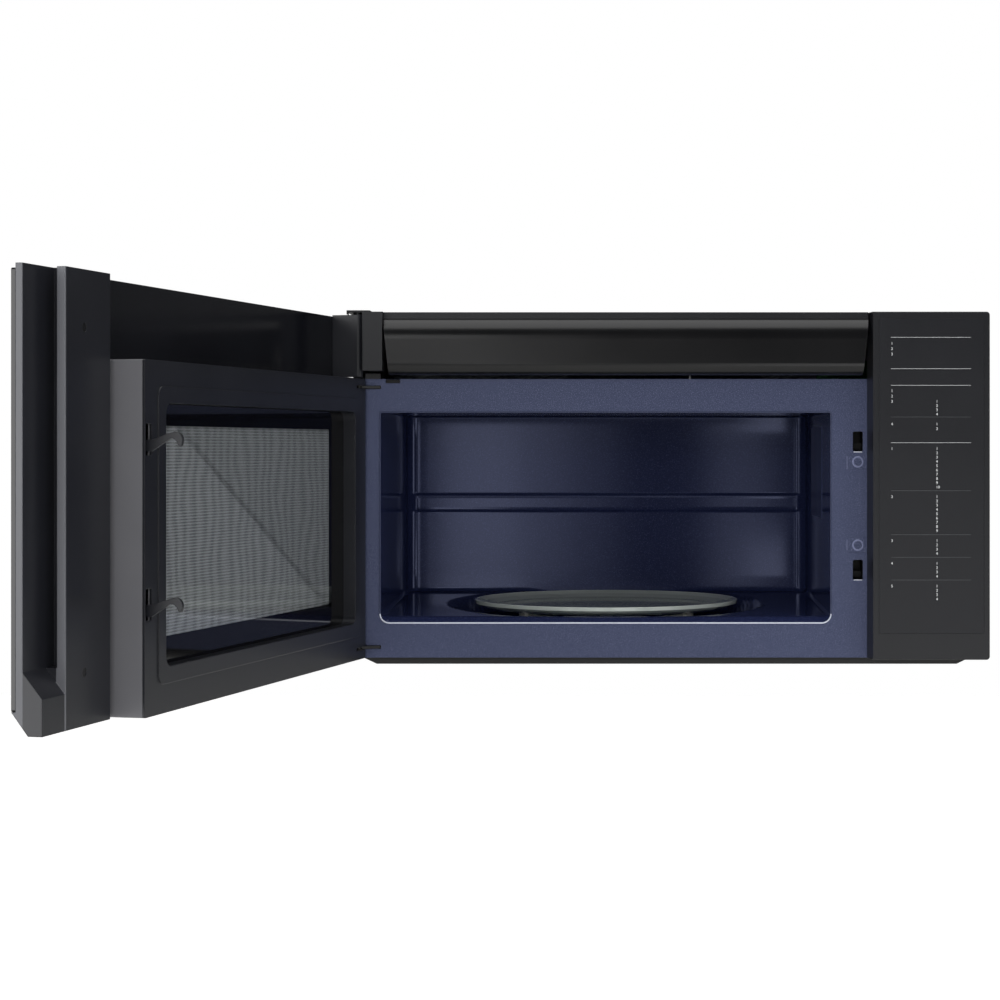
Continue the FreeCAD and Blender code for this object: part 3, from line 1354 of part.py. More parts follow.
def power_parts():
    """Magnetron on its waveguide, transformer, capacitor, cooling fan and the two boards."""
    wall = "opening_right + sheet_wall"
    rise = "floor + guide_rise"
    keep(block("opening_right - mesh_wall", "opening_right", "guide_reach + cover_width / 2",
               "guide_reach - cover_width / 2", rise + " - cover_height / 2", rise + " + cover_height / 2"),
         "waveguide_cover")
    near, far = "guide_reach + guide_depth / 2 + sheet_wall", "guide_reach - guide_depth / 2 - sheet_wall"
    low, high = rise + " - guide_height / 2 - waveguide_margin", rise + " + guide_height / 2 + waveguide_margin"
    duct = block(wall, wall + " + waveguide_depth", near, far, low, high)
    inside = block(wall + " - 1", wall + " + waveguide_depth - sheet_wall", near + " - sheet_wall",
                   far + " + sheet_wall", low + " + sheet_wall", high + " - sheet_wall")
    antenna_hole = drum(wall, "guide_reach", rise, "antenna_size + seam_gap", "2 * waveguide_depth", "right")
    keep(less(duct, [inside, antenna_hole]), "waveguide")
    left = wall + " + waveguide_depth"
    front, back = "guide_reach + magnetron_depth / 2", "guide_reach - magnetron_depth / 2"
    under, over = rise + " - magnetron_height / 2", rise + " + magnetron_height / 2"
    pieces = [block(left, left + " + 2 * fin_wall", front, back, under, over),
              drum(left + " - waveguide_depth / 2", "guide_reach", rise, "antenna_size",
                   "waveguide_depth", "right"),
              drum(left, "guide_reach", rise, "magnetron_depth / 4", "magnetron_width", "right"),
              block(left, left + " + magnetron_width", front, front + " - fin_wall", under, over),
              block(left, left + " + magnetron_width", back + " + fin_wall", back, under, over)]
    for index in range(sizes["fin_count"]):
        start = left + " + magnetron_width * %d / (fin_count + 1)" % (index + 1)
        pieces.append(block(start, start + " + fin_wall", front, back, under + " + waveguide_margin",
                            over + " - waveguide_margin"))
    keep(join(pieces), "magnetron")

    low = "floor + sheet_wall"
    front = "transformer_reach + transformer_depth / 2"
    back = "transformer_reach - transformer_depth / 2"
    right = "transformer_left + transformer_width"
    core = block("transformer_left", right, front + " - coil_overhang", back + " + coil_overhang", low,
                 low + " + transformer_height")
    coils = [block("transformer_left + coil_overhang", right + " - coil_overhang", front, back,
                   low + " + coil_overhang", low + " + transformer_height / 2 - seam_gap"),
             block("transformer_left + coil_overhang", right + " - coil_overhang", front, back,
                   low + " + transformer_height / 2 + seam_gap", low + " + transformer_height - coil_overhang")]
    keep(join([core] + coils), "transformer")
    can = drum("capacitor_side", "capacitor_reach + capacitor_length / 2", low + " + capacitor_size",
               "capacitor_size", "capacitor_length", "back")
    cradle = block("capacitor_side - capacitor_size", "capacitor_side + capacitor_size",
                   "capacitor_reach + capacitor_size", "capacitor_reach - capacitor_size", low,
                   low + " + capacitor_size / 2")
    keep(join([can, cradle]), "capacitor")

    x, z = "fan_side", "floor + fan_rise"
    reach = "sheet_wall + fan_stand + fan_depth"
    ring = less(drum(x, reach, z, "fan_ring", "fan_depth", "back"),
                [drum(x, reach + " + 1", z, "fan_size + move_gap", "fan_depth + 2", "back")])
    feet = []
    for side in (" - fan_ring", " + fan_ring - 2 * screw_size"):
        feet.append(block(x + side, x + side + " + 2 * screw_size", "sheet_wall + fan_stand + fan_depth",
                          "sheet_wall", z + " - screw_size", z + " + screw_size"))
    swept = drum(x, reach + " + 1", z, "fan_size + move_gap", "fan_stand + fan_depth + 1", "back")
    keep(join([ring, less(join(feet), [swept])]), "cooling_fan_housing")
    motor = drum(x, "sheet_wall + fan_stand - board_gap", z, "fan_motor", "fan_stand - board_gap", "back")
    bore = drum(x, "fan_stand + fan_depth", z, "fan_shaft + pin_fit", "fan_stand + fan_depth - 2 * screw_size",
                "back")
    keep(less(motor, [bore]), "cooling_fan_motor")
    hub = drum(x, reach + " - board_gap", z, "fan_hub", "fan_depth - 2 * board_gap", "back")
    shaft = drum(x, reach + " - board_gap", z, "fan_shaft", "fan_depth + fan_stand / 2", "back")
    blades = []
    for index in range(sizes["fan_blades"]):
        angle = sizes["fan_pitch"] + 360 * index / sizes["fan_blades"]
        blade = doc.addObject("Part::Box", "fan_blade")
        blade.Placement = FreeCAD.Placement(vector(0, 0), FreeCAD.Rotation(vector(0, 1), angle)
                                            * FreeCAD.Rotation(vector(1, 0), sizes["fan_pitch"]))
        bind(blade, "Length", "fan_size - seam_gap - fan_hub / 2")
        bind(blade, "Width", "fan_depth - 4 * board_gap")
        bind(blade, "Height", "blade_wall")
        bind(blade, "Placement.Base.x", "%s + fan_hub / 2 * cos(%g)" % (x, angle))
        bind(blade, "Placement.Base.y", "0 - sheet_wall - fan_stand - fan_depth + 2 * board_gap")
        bind(blade, "Placement.Base.z", "%s - fan_hub / 2 * sin(%g)" % (z, angle))
        blades.append(blade)
    keep(join([hub, shaft] + blades), "cooling_fan_blades")

    x, z = "board_side", "floor + board_rise"
    board = [block(x + " - board_width / 2", x + " + board_width / 2",
                   "sheet_wall + stand_off + board_wall", "sheet_wall + stand_off", z,
                   z + " + board_height")]
    for side in (" - board_width / 2 + screw_size", " + board_width / 2 - screw_size"):
        for height in (" + screw_size", " + board_height - screw_size"):
            board.append(drum(x + side, "sheet_wall + stand_off", z + height, "shank_size", "stand_off", "back"))
    board.append(drum(x, "sheet_wall + stand_off + board_wall + 2 * screw_size", z + " + board_height / 2",
                      "2 * screw_size", "2 * screw_size", "back"))
    keep(join(board), "line_filter_board")

    left, right = "label_left + label_wall + board_gap", "side - label_wall - board_gap"
    low, high = "floor + control_low", "floor + control_high"
    plate = "plate_reach + stand_off"
    board = [block(left, right, plate + " + board_wall", plate, low, high)]
    for side in (left + " + screw_size", right + " - screw_size"):
        for height in (low + " + screw_size", high + " - screw_size"):
            board.append(drum(side, plate, height, "shank_size", "stand_off", "back"))
    board.append(block(left + " + 4 * screw_size", left + " + 10 * screw_size",
                       plate + " + board_wall + 3 * screw_size", plate, low + " + 4 * screw_size",
                       low + " + 14 * screw_size"))
    keep(join(board), "control_board")


face_plate()
cavity_liner()
casing()
base_pan()
front_mouldings()
door_shell()
door_box()
latch()
hinge()
turntable()
vent()
power_parts()

doc.recompute()
for item in doc.Objects:
    if "Invalid" in item.State or "Error" in item.State:
        raise ValueError("%s is not built: %s" % (item.Label, item.State))
for label, item in parts.items():
    shape = item.Shape
    if shape.isNull() or not shape.isValid() or not shape.Solids:
        raise ValueError(label + " has no sound shape")
    shape.exportStep("parts/" + label + ".step")
print(len(parts), "parts written")
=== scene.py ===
import bpy, math
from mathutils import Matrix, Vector


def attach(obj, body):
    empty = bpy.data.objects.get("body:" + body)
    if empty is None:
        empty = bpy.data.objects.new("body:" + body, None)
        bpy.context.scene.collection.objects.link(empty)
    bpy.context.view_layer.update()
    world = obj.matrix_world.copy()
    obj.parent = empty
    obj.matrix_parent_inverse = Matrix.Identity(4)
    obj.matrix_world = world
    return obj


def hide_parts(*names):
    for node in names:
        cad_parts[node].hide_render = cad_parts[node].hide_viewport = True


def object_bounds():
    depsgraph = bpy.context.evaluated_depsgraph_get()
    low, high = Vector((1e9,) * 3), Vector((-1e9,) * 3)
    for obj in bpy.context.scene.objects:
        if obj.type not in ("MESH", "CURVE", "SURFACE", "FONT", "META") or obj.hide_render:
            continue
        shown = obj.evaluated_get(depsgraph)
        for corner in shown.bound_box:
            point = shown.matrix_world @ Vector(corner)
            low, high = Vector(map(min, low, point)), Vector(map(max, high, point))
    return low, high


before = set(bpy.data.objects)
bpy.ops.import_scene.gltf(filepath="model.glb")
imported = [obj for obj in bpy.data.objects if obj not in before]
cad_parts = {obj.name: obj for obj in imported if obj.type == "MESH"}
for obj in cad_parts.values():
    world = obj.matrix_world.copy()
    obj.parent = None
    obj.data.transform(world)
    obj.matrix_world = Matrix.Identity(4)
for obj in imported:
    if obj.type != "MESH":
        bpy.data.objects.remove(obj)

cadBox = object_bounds()
print("frame loaded:", len(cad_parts), "nodes")

# The oven hangs on its rear face: x to the right, y to the wall, z up, all in metres.
# The camera, the studio and the door's hinge are written in metres. All other values are
# millimetres: side from the middle, reach from the wall, height from the base pan's underside.

view = {"place": (-0.0629, -3.049, 0.0492), "lens": 79.92, "sensor": 36, "shiftX": -0.117,
        "shiftY": -0.052}

cameraData = bpy.data.cameras.new("studioCamera")
cameraData.lens = view["lens"]
cameraData.sensor_width = view["sensor"]
cameraData.shift_x = view["shiftX"]
cameraData.shift_y = view["shiftY"]
camera = bpy.data.objects.new("studioCamera", cameraData)
bpy.context.collection.objects.link(camera)
camera.location = view["place"]
camera.rotation_euler = (math.radians(90), 0, 0)  # level, looking at the wall
bpy.context.scene.camera = camera
bpy.context.scene.view_settings.view_transform = "Standard"
print("camera set")


def fromHex(code):  # sRGB hex to the linear values that the sockets want
    parts = [int(code[i:i + 2], 16) / 255 for i in (0, 2, 4)]
    return [c / 12.92 if c <= 0.04045 else ((c + 0.055) / 1.055) ** 2.4 for c in parts] + [1]


def addNode(tree, kind, settings=(), links=()):
    # settings: property or input name to value; links: input name to an output socket
    node = tree.nodes.new(kind)
    for name, value in dict(settings).items():
        if isinstance(name, int) or name in node.inputs:
            node.inputs[name].default_value = value
        else:
            setattr(node, name, value)
    for name, socket in dict(links).items():
        tree.links.new(socket, node.inputs[name])
    return node


def place(side, reach, height):  # millimetres on the oven to metres in the frame
    return (side / 1000, -reach / 1000, height / 1000 + cadBox[0][2])


# ---- studio: pale floor far below the hung oven, white behind, soft lamps

studio = {
    "floorDrop": 0.75, "floorHex": "F4F4F2", "floorHalf": 6.0, "floorLift": 0.62,
    "worldGlow": 0.40, "worldGloss": 0.07,
    "lamps": [  # name, place, aim, width, height, watts
        ("lampTop", (0.1, -0.7, 2.1), (0.05, -0.5, 0.0), 2.6, 2.2, 36),
        ("lampLeft", (-2.0, -2.7, 0.3), (-0.5, -0.8, 0.0), 1.0, 2.2, 24),
        ("lampRight", (2.4, -2.4, 0.5), (0.0, -0.4, 0.0), 1.2, 1.8, 12),
        ("lampRoom", (-0.1, -2.7, 0.30), (-0.08, -0.1, 0.0), 1.2, 0.5, 10),
        ("stripLeft", (-0.441, -3.07, -0.05), (-0.441, 0.0, -0.05), 0.223, 0.66, 0.90),
        ("stripInner", (-0.262, -3.07, -0.05), (-0.262, 0.0, -0.05), 0.135, 0.66, 0.30),
        ("stripFaint", (-0.130, -3.07, -0.05), (-0.130, 0.0, -0.05), 0.129, 0.66, 0.13),
        ("stripRight", (0.275, -3.07, -0.12), (0.275, 0.0, -0.12), 0.17, 0.50, 0.24),
        ("panelLow", (0.75, -3.10, -0.60), (0.3, -0.4, -0.1), 0.9, 0.8, 4.0),
        ("panelHigh", (-0.85, -3.10, 0.75), (-0.3, -0.4, 0.1), 0.9, 0.8, 5.0),
    ],
}

world = bpy.data.worlds.new("whiteStudio")
bpy.context.scene.world = world
world.use_nodes = True
tree = world.node_tree
tree.nodes.clear()
rays = addNode(tree, "ShaderNodeLightPath")
seen = addNode(tree, "ShaderNodeMath", {"operation": "MAXIMUM"},
               {0: rays.outputs["Is Camera Ray"], 1: rays.outputs["Is Transmission Ray"]})
lit = addNode(tree, "ShaderNodeBackground", {"Color": (1, 1, 1, 1), "Strength": studio["worldGlow"]})
mirrored = addNode(tree, "ShaderNodeBackground", {"Color": (1, 1, 1, 1), "Strength": studio["worldGloss"]})
white = addNode(tree, "ShaderNodeBackground", {"Color": (1, 1, 1, 1), "Strength": 1.0})
around = addNode(tree, "ShaderNodeMixShader", {},
                 {0: rays.outputs["Is Glossy Ray"], 1: lit.outputs[0], 2: mirrored.outputs[0]})
whole = addNode(tree, "ShaderNodeMixShader", {},
                {0: seen.outputs[0], 1: around.outputs[0], 2: white.outputs[0]})
addNode(tree, "ShaderNodeOutputWorld", {}, {"Surface": whole.outputs[0]})

for name, spot, aim, width, height, watts in studio["lamps"]:
    lampData = bpy.data.lights.new(name, "AREA")
    lampData.shape = "RECTANGLE"
    lampData.size = width
    lampData.size_y = height
    lampData.energy = watts
    lamp = bpy.data.objects.new(name, lampData)
    bpy.context.collection.objects.link(lamp)
    lamp.location = spot
    lamp.rotation_euler = (Vector(aim) - Vector(spot)).to_track_quat("-Z", "Y").to_euler()
    lamp.visible_glossy = name != "lampRoom"  # the fill for the oven room isn't mirrored in the front

floorMesh = bpy.data.meshes.new("studioFloor")
half = studio["floorHalf"]
level = cadBox[0][2] - studio["floorDrop"]
floorCorners = [(-half, -half, level), (half, -half, level), (half, half, level), (-half, half, level)]
floorMesh.from_pydata(floorCorners, [], [(0, 1, 2, 3)])
floor = bpy.data.objects.new("studioFloor", floorMesh)
bpy.context.collection.objects.link(floor)
paper = bpy.data.materials.new("seamlessPaper")  # matt white paper: even, no sheen, takes the shadow
paper.use_nodes = True
tree = paper.node_tree
tree.nodes.clear()
rays = addNode(tree, "ShaderNodeLightPath")
matt = addNode(tree, "ShaderNodeBsdfDiffuse", {"Color": fromHex(studio["floorHex"]), "Roughness": 1.0})
lift = addNode(tree, "ShaderNodeMath", {"operation": "MULTIPLY", 1: studio["floorLift"]},
               {0: rays.outputs["Is Camera Ray"]})
glow = addNode(tree, "ShaderNodeEmission", {"Color": (1, 1, 1, 1)}, {"Strength": lift.outputs[0]})
both = addNode(tree, "ShaderNodeAddShader", {}, {0: matt.outputs[0], 1: glow.outputs[0]})
addNode(tree, "ShaderNodeOutputMaterial", {}, {"Surface": both.outputs[0]})
floorMesh.materials.append(paper)
print("studio lit")


# ---- finishes

def newFinish(name, roundMm=0):
    # roundMm: how far the shading softens the edges, as the real ones are broken
    material = bpy.data.materials.new(name)
    material.use_nodes = True
    tree = material.node_tree
    tree.nodes.clear()
    coords = addNode(tree, "ShaderNodeTexCoord").outputs["Object"]
    surface = addNode(tree, "ShaderNodeBsdfPrincipled")
    addNode(tree, "ShaderNodeOutputMaterial", {}, {"Surface": surface.outputs[0]})
    edge = addNode(tree, "ShaderNodeBevel", {"samples": 4, "Radius": roundMm / 1000}) if roundMm else None
    return material, tree, coords, surface, edge


def reliefFrom(tree, height, surface, depth, edge=None, strength=1.0):
    # depth in millimetres, from black to white of the height
    bump = addNode(tree, "ShaderNodeBump", {"Strength": strength, "Distance": depth / 1000},
                   {"Height": height})
    if edge:
        tree.links.new(edge.outputs[0], bump.inputs["Normal"])
    tree.links.new(bump.outputs[0], surface.inputs["Normal"])


def hueMix(tree, factor, low, high, fromValue=0.3, toValue=0.7):
    # one colour below fromValue, the other above toValue
    ramp = addNode(tree, "ShaderNodeMapRange", {"From Min": fromValue, "From Max": toValue},
                   {"Value": factor})
    mix = addNode(tree, "ShaderNodeMix", {"data_type": "RGBA"}, {"Factor": ramp.outputs[0]})
    mix.inputs[6].default_value = fromHex(low)
    mix.inputs[7].default_value = fromHex(high)
    return mix.outputs[2]


def mouldedAbs(name, deep, light, rough, grainMm=0.6, depthMm=0.012, roundMm=0.5, wear=0.06):
    # ABS from a spark-eroded mould: a dull even skin whose fine grain breaks up highlights.
    # The grain of about 0.2 mm is drawn at 0.6 mm, the least that shows here.
    material, tree, coords, surface, edge = newFinish(name, roundMm)
    grain = addNode(tree, "ShaderNodeTexNoise", {"Scale": 1000 / grainMm, "Detail": 4, "Roughness": 0.6},
                    {"Vector": coords})
    reliefFrom(tree, grain.outputs[0], surface, depthMm, edge)
    cloud = addNode(tree, "ShaderNodeTexNoise", {"Scale": 9.0, "Detail": 3}, {"Vector": coords})
    tree.links.new(hueMix(tree, cloud.outputs[0], deep, light), surface.inputs["Base Color"])
    sheen = addNode(tree, "ShaderNodeMapRange", {"To Min": rough - wear, "To Max": rough + wear},
                    {"Value": cloud.outputs[0]})
    tree.links.new(sheen.outputs[0], surface.inputs["Roughness"])
    surface.inputs["IOR"].default_value = 1.46
    return material


def speckledEnamel(name, base, speck, rough, speckMm=0.9, amount=0.62, tint="FFFFFF", roundMm=0.6,
                   peelMm=2.4, peelDepthMm=0.015):
    # vitreous enamel fired on steel: a glassy coat with lighter specks and faint orange peel
    material, tree, coords, surface, edge = newFinish(name, roundMm)
    peel = addNode(tree, "ShaderNodeTexNoise", {"Scale": 1000 / peelMm, "Detail": 2}, {"Vector": coords})
    reliefFrom(tree, peel.outputs[0], surface, peelDepthMm, edge)
    fleck = addNode(tree, "ShaderNodeTexNoise", {"Scale": 1000 / speckMm, "Detail": 2, "Roughness": 0.7},
                    {"Vector": coords})
    tree.links.new(hueMix(tree, fleck.outputs[0], base, speck, amount - 0.1, amount + 0.08),
                   surface.inputs["Base Color"])
    surface.inputs["Roughness"].default_value = rough
    surface.inputs["IOR"].default_value = 1.5
    surface.inputs["Specular Tint"].default_value = fromHex(tint)
    return material


def rolledMetal(name, shade, dull, rough, grainMm=8.0):
    # rolled and plated sheet: a grey metal with a soft cloudy spangle
    material, tree, coords, surface, edge = newFinish(name, 0.3)
    spangle = addNode(tree, "ShaderNodeTexNoise", {"Scale": 1000 / grainMm, "Detail": 5}, {"Vector": coords})
    tree.links.new(hueMix(tree, spangle.outputs[0], dull, shade), surface.inputs["Base Color"])
    surface.inputs["Metallic"].default_value = 1.0
    ramp = addNode(tree, "ShaderNodeMapRange", {"To Min": rough - 0.08, "To Max": rough + 0.1},
                   {"Value": spangle.outputs[0]})
    tree.links.new(ramp.outputs[0], surface.inputs["Roughness"])
    reliefFrom(tree, spangle.outputs[0], surface, 0.02, edge, 0.4)
    return material


def expandedAluminium(name, strandMm=25.1327):
    # layers of slit and stretched aluminium: crossed bright strands over dark gaps. The strands
    # lie 25 mm apart here, wider than real ones, so that they show. A wave of scale 1 repeats
    # every pi / 10 units.
    material, tree, coords, surface, _ = newFinish(name)
    strands = []
    for turn in (35, -35):
        turned = addNode(tree, "ShaderNodeMapping", {"Rotation": (0, 0, math.radians(turn))},
                         {"Vector": coords})
        strands.append(addNode(tree, "ShaderNodeTexWave",
                               {"Scale": math.pi / 10 * 1000 / strandMm, "Distortion": 0.6},
                               {"Vector": turned.outputs[0]}))
    web = addNode(tree, "ShaderNodeMath", {"operation": "MAXIMUM"},
                  {0: strands[0].outputs["Fac"], 1: strands[1].outputs["Fac"]})
    tree.links.new(hueMix(tree, web.outputs[0], "3A3B3C", "C4C6C8", 0.55, 0.85), surface.inputs["Base Color"])
    surface.inputs["Metallic"].default_value = 1.0
    surface.inputs["Roughness"].default_value = 0.34
    reliefFrom(tree, web.outputs[0], surface, 0.8)
    return material


def backPrintedGlass():
    # soda-lime glass, black enamel fired on its back: deep and even, only the reflections move
    material, tree, coords, surface, edge = newFinish("backPrintedGlass", 0.4)
    cloud = addNode(tree, "ShaderNodeTexNoise", {"Scale": 6.0, "Detail": 2}, {"Vector": coords})
    tree.links.new(hueMix(tree, cloud.outputs[0], "0A0A0C", "0E0E10"), surface.inputs["Base Color"])
    waver = addNode(tree, "ShaderNodeTexNoise", {"Scale": 3.0, "Detail": 1}, {"Vector": coords})
    reliefFrom(tree, waver.outputs[0], surface, 0.3, edge, 0.3)
    surface.inputs["Roughness"].default_value = 0.05
    surface.inputs["IOR"].default_value = 1.52
    return material


def clearGlass(name, tint, rough=0.02, waveMm=25.0, through=1.0):
    # drawn or pressed glass: a faint tint, a slight waver, and a pale diffuse share where through is below 1;
    # on the tray and its rim that share is painted brightness for reflected light
    material, tree, coords, surface, _ = newFinish(name)
    surface.inputs["Base Color"].default_value = fromHex(tint)
    surface.inputs["Transmission Weight"].default_value = through
    surface.inputs["IOR"].default_value = 1.5
    waver = addNode(tree, "ShaderNodeTexNoise", {"Scale": 1000 / waveMm, "Detail": 2}, {"Vector": coords})
    ramp = addNode(tree, "ShaderNodeMapRange", {"To Min": rough, "To Max": rough + 0.05},
                   {"Value": waver.outputs[0]})
    tree.links.new(ramp.outputs[0], surface.inputs["Roughness"])
    reliefFrom(tree, waver.outputs[0], surface, 0.05, None, 0.5)
    return material


# The door's pieces lie turned by the door's angle. This turns their patterns back to the shut door.
door = {"hingeX": -0.372, "hingeY": -0.397, "angle": 103.0}
turnBack = math.radians(door["angle"])
doorShift = (door["hingeX"] - door["hingeX"] * math.cos(turnBack) + door["hingeY"] * math.sin(turnBack),
             door["hingeY"] - door["hingeX"] * math.sin(turnBack) - door["hingeY"] * math.cos(turnBack), 0)


def shutDoor(tree, coords):
    turned = addNode(tree, "ShaderNodeMapping", {"Rotation": (0, 0, turnBack), "Location": doorShift},
                     {"Vector": coords})
    return turned.outputs[0]


def within(tree, parts, limits):
    # 1 inside the limits (metres on the shut door), 0 outside
    result = None
    for axis, (lowest, highest) in limits.items():
        span = addNode(tree, "ShaderNodeMath", {"operation": "COMPARE", 1: (lowest + highest) / 2,
                                               2: (highest - lowest) / 2}, {0: parts.outputs[axis]})
        if result is None:
            result = span.outputs[0]
        else:
            result = addNode(tree, "ShaderNodeMath", {"operation": "MULTIPLY"},
                             {0: result, 1: span.outputs[0]}).outputs[0]
    return result


def handleAbs():
    # satin ABS rail: the grip wall and front edge are painted paler, a painted highlight for the left-front
    # softbox light that these faces reflect
    paintedHighlights = {  # colour, sides and reach on the shut door
        "gripWall": ("606166", (334.5, 337.5), (417.2, 426.8)),
        "frontEdge": ("515257", (378.0, 380.0), (436.6, 449.0)),
    }
    material = mouldedAbs("handleRailAbsSatin", "191A1F", "1E1F24", 0.30, roundMm=1.0)
    tree = material.node_tree
    surface = next(node for node in tree.nodes if node.type == "BSDF_PRINCIPLED")
    coords = next(node for node in tree.nodes if node.type == "TEX_COORD").outputs["Object"]
    parts = addNode(tree, "ShaderNodeSeparateXYZ", {}, {"Vector": shutDoor(tree, coords)})
    colour = surface.inputs["Base Color"].links[0].from_socket
    # each area is mixed towards its paler colour: the painted highlight
    for hue, sides, reaches in paintedHighlights.values():
        area = within(tree, parts, {"X": (sides[0] / 1000, sides[1] / 1000),
                                    "Y": (-reaches[1] / 1000, -reaches[0] / 1000)})
        mix = addNode(tree, "ShaderNodeMix", {"data_type": "RGBA"}, {"Factor": area})
        tree.links.new(colour, mix.inputs[6])
        mix.inputs[7].default_value = fromHex(hue)
        colour = mix.outputs[2]
    tree.links.new(colour, surface.inputs["Base Color"])
    return material


def perforatedScreen():
    # painted steel etched with round holes 1.6 mm apart, drawn 3 mm apart so that they show
    holes = {"pitch": 3.0, "web": "C6C8CB", "hole": "68696C", "waver": 0.16}
    material, tree, coords, surface, _ = newFinish("perforatedScreenSteel")
    flat = shutDoor(tree, coords)
    cells = addNode(tree, "ShaderNodeTexVoronoi", {"Scale": 1000 / holes["pitch"], "Randomness": 0.0},
                    {"Vector": flat})
    waves = addNode(tree, "ShaderNodeTexWave", {"Scale": 14.0, "Distortion": 6.0, "Detail": 1},
                    {"Vector": flat})
    soft = addNode(tree, "ShaderNodeMath", {"operation": "MULTIPLY", 1: holes["waver"]},
                   {0: waves.outputs["Fac"]})
    depth = addNode(tree, "ShaderNodeMath", {"operation": "ADD"},
                    {0: cells.outputs["Distance"], 1: soft.outputs[0]})
    tree.links.new(hueMix(tree, depth.outputs[0], holes["hole"], holes["web"], 0.30, 0.52),
                   surface.inputs["Base Color"])
    surface.inputs["Roughness"].default_value = 0.45
    reliefFrom(tree, cells.outputs["Distance"], surface, 0.2)
    return material


def printedWindowGlass():
    # clear tempered glass with a black ceramic border fired round the window
    window = {"left": -290, "right": 190, "low": 79, "high": 281.5}
    material, tree, coords, surface, _ = newFinish("printedWindowGlass")
    parts = addNode(tree, "ShaderNodeSeparateXYZ", {}, {"Vector": shutDoor(tree, coords)})
    lowLeft = place(window["left"], 0, window["low"])
    highRight = place(window["right"], 0, window["high"])
    clear = within(tree, parts, {"X": (lowLeft[0], highRight[0]), "Z": (lowLeft[2], highRight[2])})
    tree.links.new(hueMix(tree, clear, "0B0B0D", "E4E6E6", 0.4, 0.6), surface.inputs["Base Color"])
    tree.links.new(clear, surface.inputs["Transmission Weight"])
    surface.inputs["Roughness"].default_value = 0.04
    surface.inputs["IOR"].default_value = 1.5
    return material


def solderMask():
    # glass-fibre board under green solder mask: fine copper tracks show as lighter lines
    material, tree, coords, surface, _ = newFinish("solderMaskedBoard")
    tracks = addNode(tree, "ShaderNodeTexBrick",
                     {"Scale": 90.0, "Mortar Size": 0.03, "Color1": fromHex("1C4A28"),
                      "Color2": fromHex("1F522C"), "Mortar": fromHex("3F7A45")},
                     {"Vector": coords})
    tree.links.new(tracks.outputs["Color"], surface.inputs["Base Color"])
    surface.inputs["Roughness"].default_value = 0.35
    reliefFrom(tree, tracks.outputs["Fac"], surface, 0.05)
    return material


finish = {
    "doorAbs": mouldedAbs("doorAbsSparkGrained", "1A1B1F", "1F2025", 0.32, roundMm=1.0),
    "frameAbs": mouldedAbs("doorFrameAbsPolished", "0D0E12", "111217", 0.14, 0.8, 0.004, 1.0),
    "slotAbs": mouldedAbs("latchBodyAbsBlack", "060608", "09090B", 0.5),
    "railAbs": handleAbs(),
    "panelAbs": mouldedAbs("labelPanelAbsSatin", "15161A", "18191D", 0.36),
    "deflectorAbs": mouldedAbs("deflectorAbsPolished", "08080A", "0A0A0C", 0.24, 0.6, 0.004),
    "whiteAcetal": mouldedAbs("whiteAcetalMoulded", "CFCDC6", "DAD8D1", 0.35),
    "filmPrint": mouldedAbs("polyesterFilmMatt", "14151A", "17181D", 0.38, 0.8, 0.003),
    "plateEnamel": speckledEnamel("frontPlateVitreousEnamel", "343950", "6A7088", 0.34, tint="C8D2FF"),
    "roomEnamel": speckledEnamel("ovenRoomVitreousEnamel", "1D2340", "3A4062", 0.10, 1.1, 0.64, "C8D2FF"),
    "coverMica": speckledEnamel("enamelledMicaCover", "262C48", "343A58", 0.30, 1.4, 0.6, "C8D2FF"),
    "casingPaint": mouldedAbs("casingPowderCoat", "141416", "191A1C", 0.45, 0.8, 0.03),
    "zinc": rolledMetal("zincPlatedSheet", "A9ABAC", "8E9092", 0.38),
    "steel": rolledMetal("nickelPlatedSteel", "9A9A9A", "7E7E80", 0.3, 4.0),
    "copper": rolledMetal("lacqueredCopperWinding", "A8643C", "8A4E2C", 0.35, 3.0),
    "alloy": expandedAluminium("expandedAluminiumMesh"),
    "blackGlass": backPrintedGlass(),
    "windowGlass": printedWindowGlass(),
    "lensGlass": clearGlass("pressedLensGlass", "DADCDC", 0.12, 3.0),
    # the tray glass is only 0.4 through, the rest pale and diffuse: a painted reflection on the clear tray
    "trayGlass": clearGlass("pressedTrayGlassPaintedSheen", "CDD5D0", 0.06, 12.0, 0.4),
    "board": solderMask(),
    "carbon": mouldedAbs("activatedCarbonGranules", "101010", "1C1C1C", 0.8, 2.5, 0.8, 0),
    "screen": perforatedScreen(),
    "framePaint": mouldedAbs("chokeFrameGreyPaint", "616165", "68686C", 0.45, 0.8, 0.01),
    "blackPaint": mouldedAbs("phosphatedBlackSteel", "101012", "141416", 0.35, 1.5, 0.01),
}
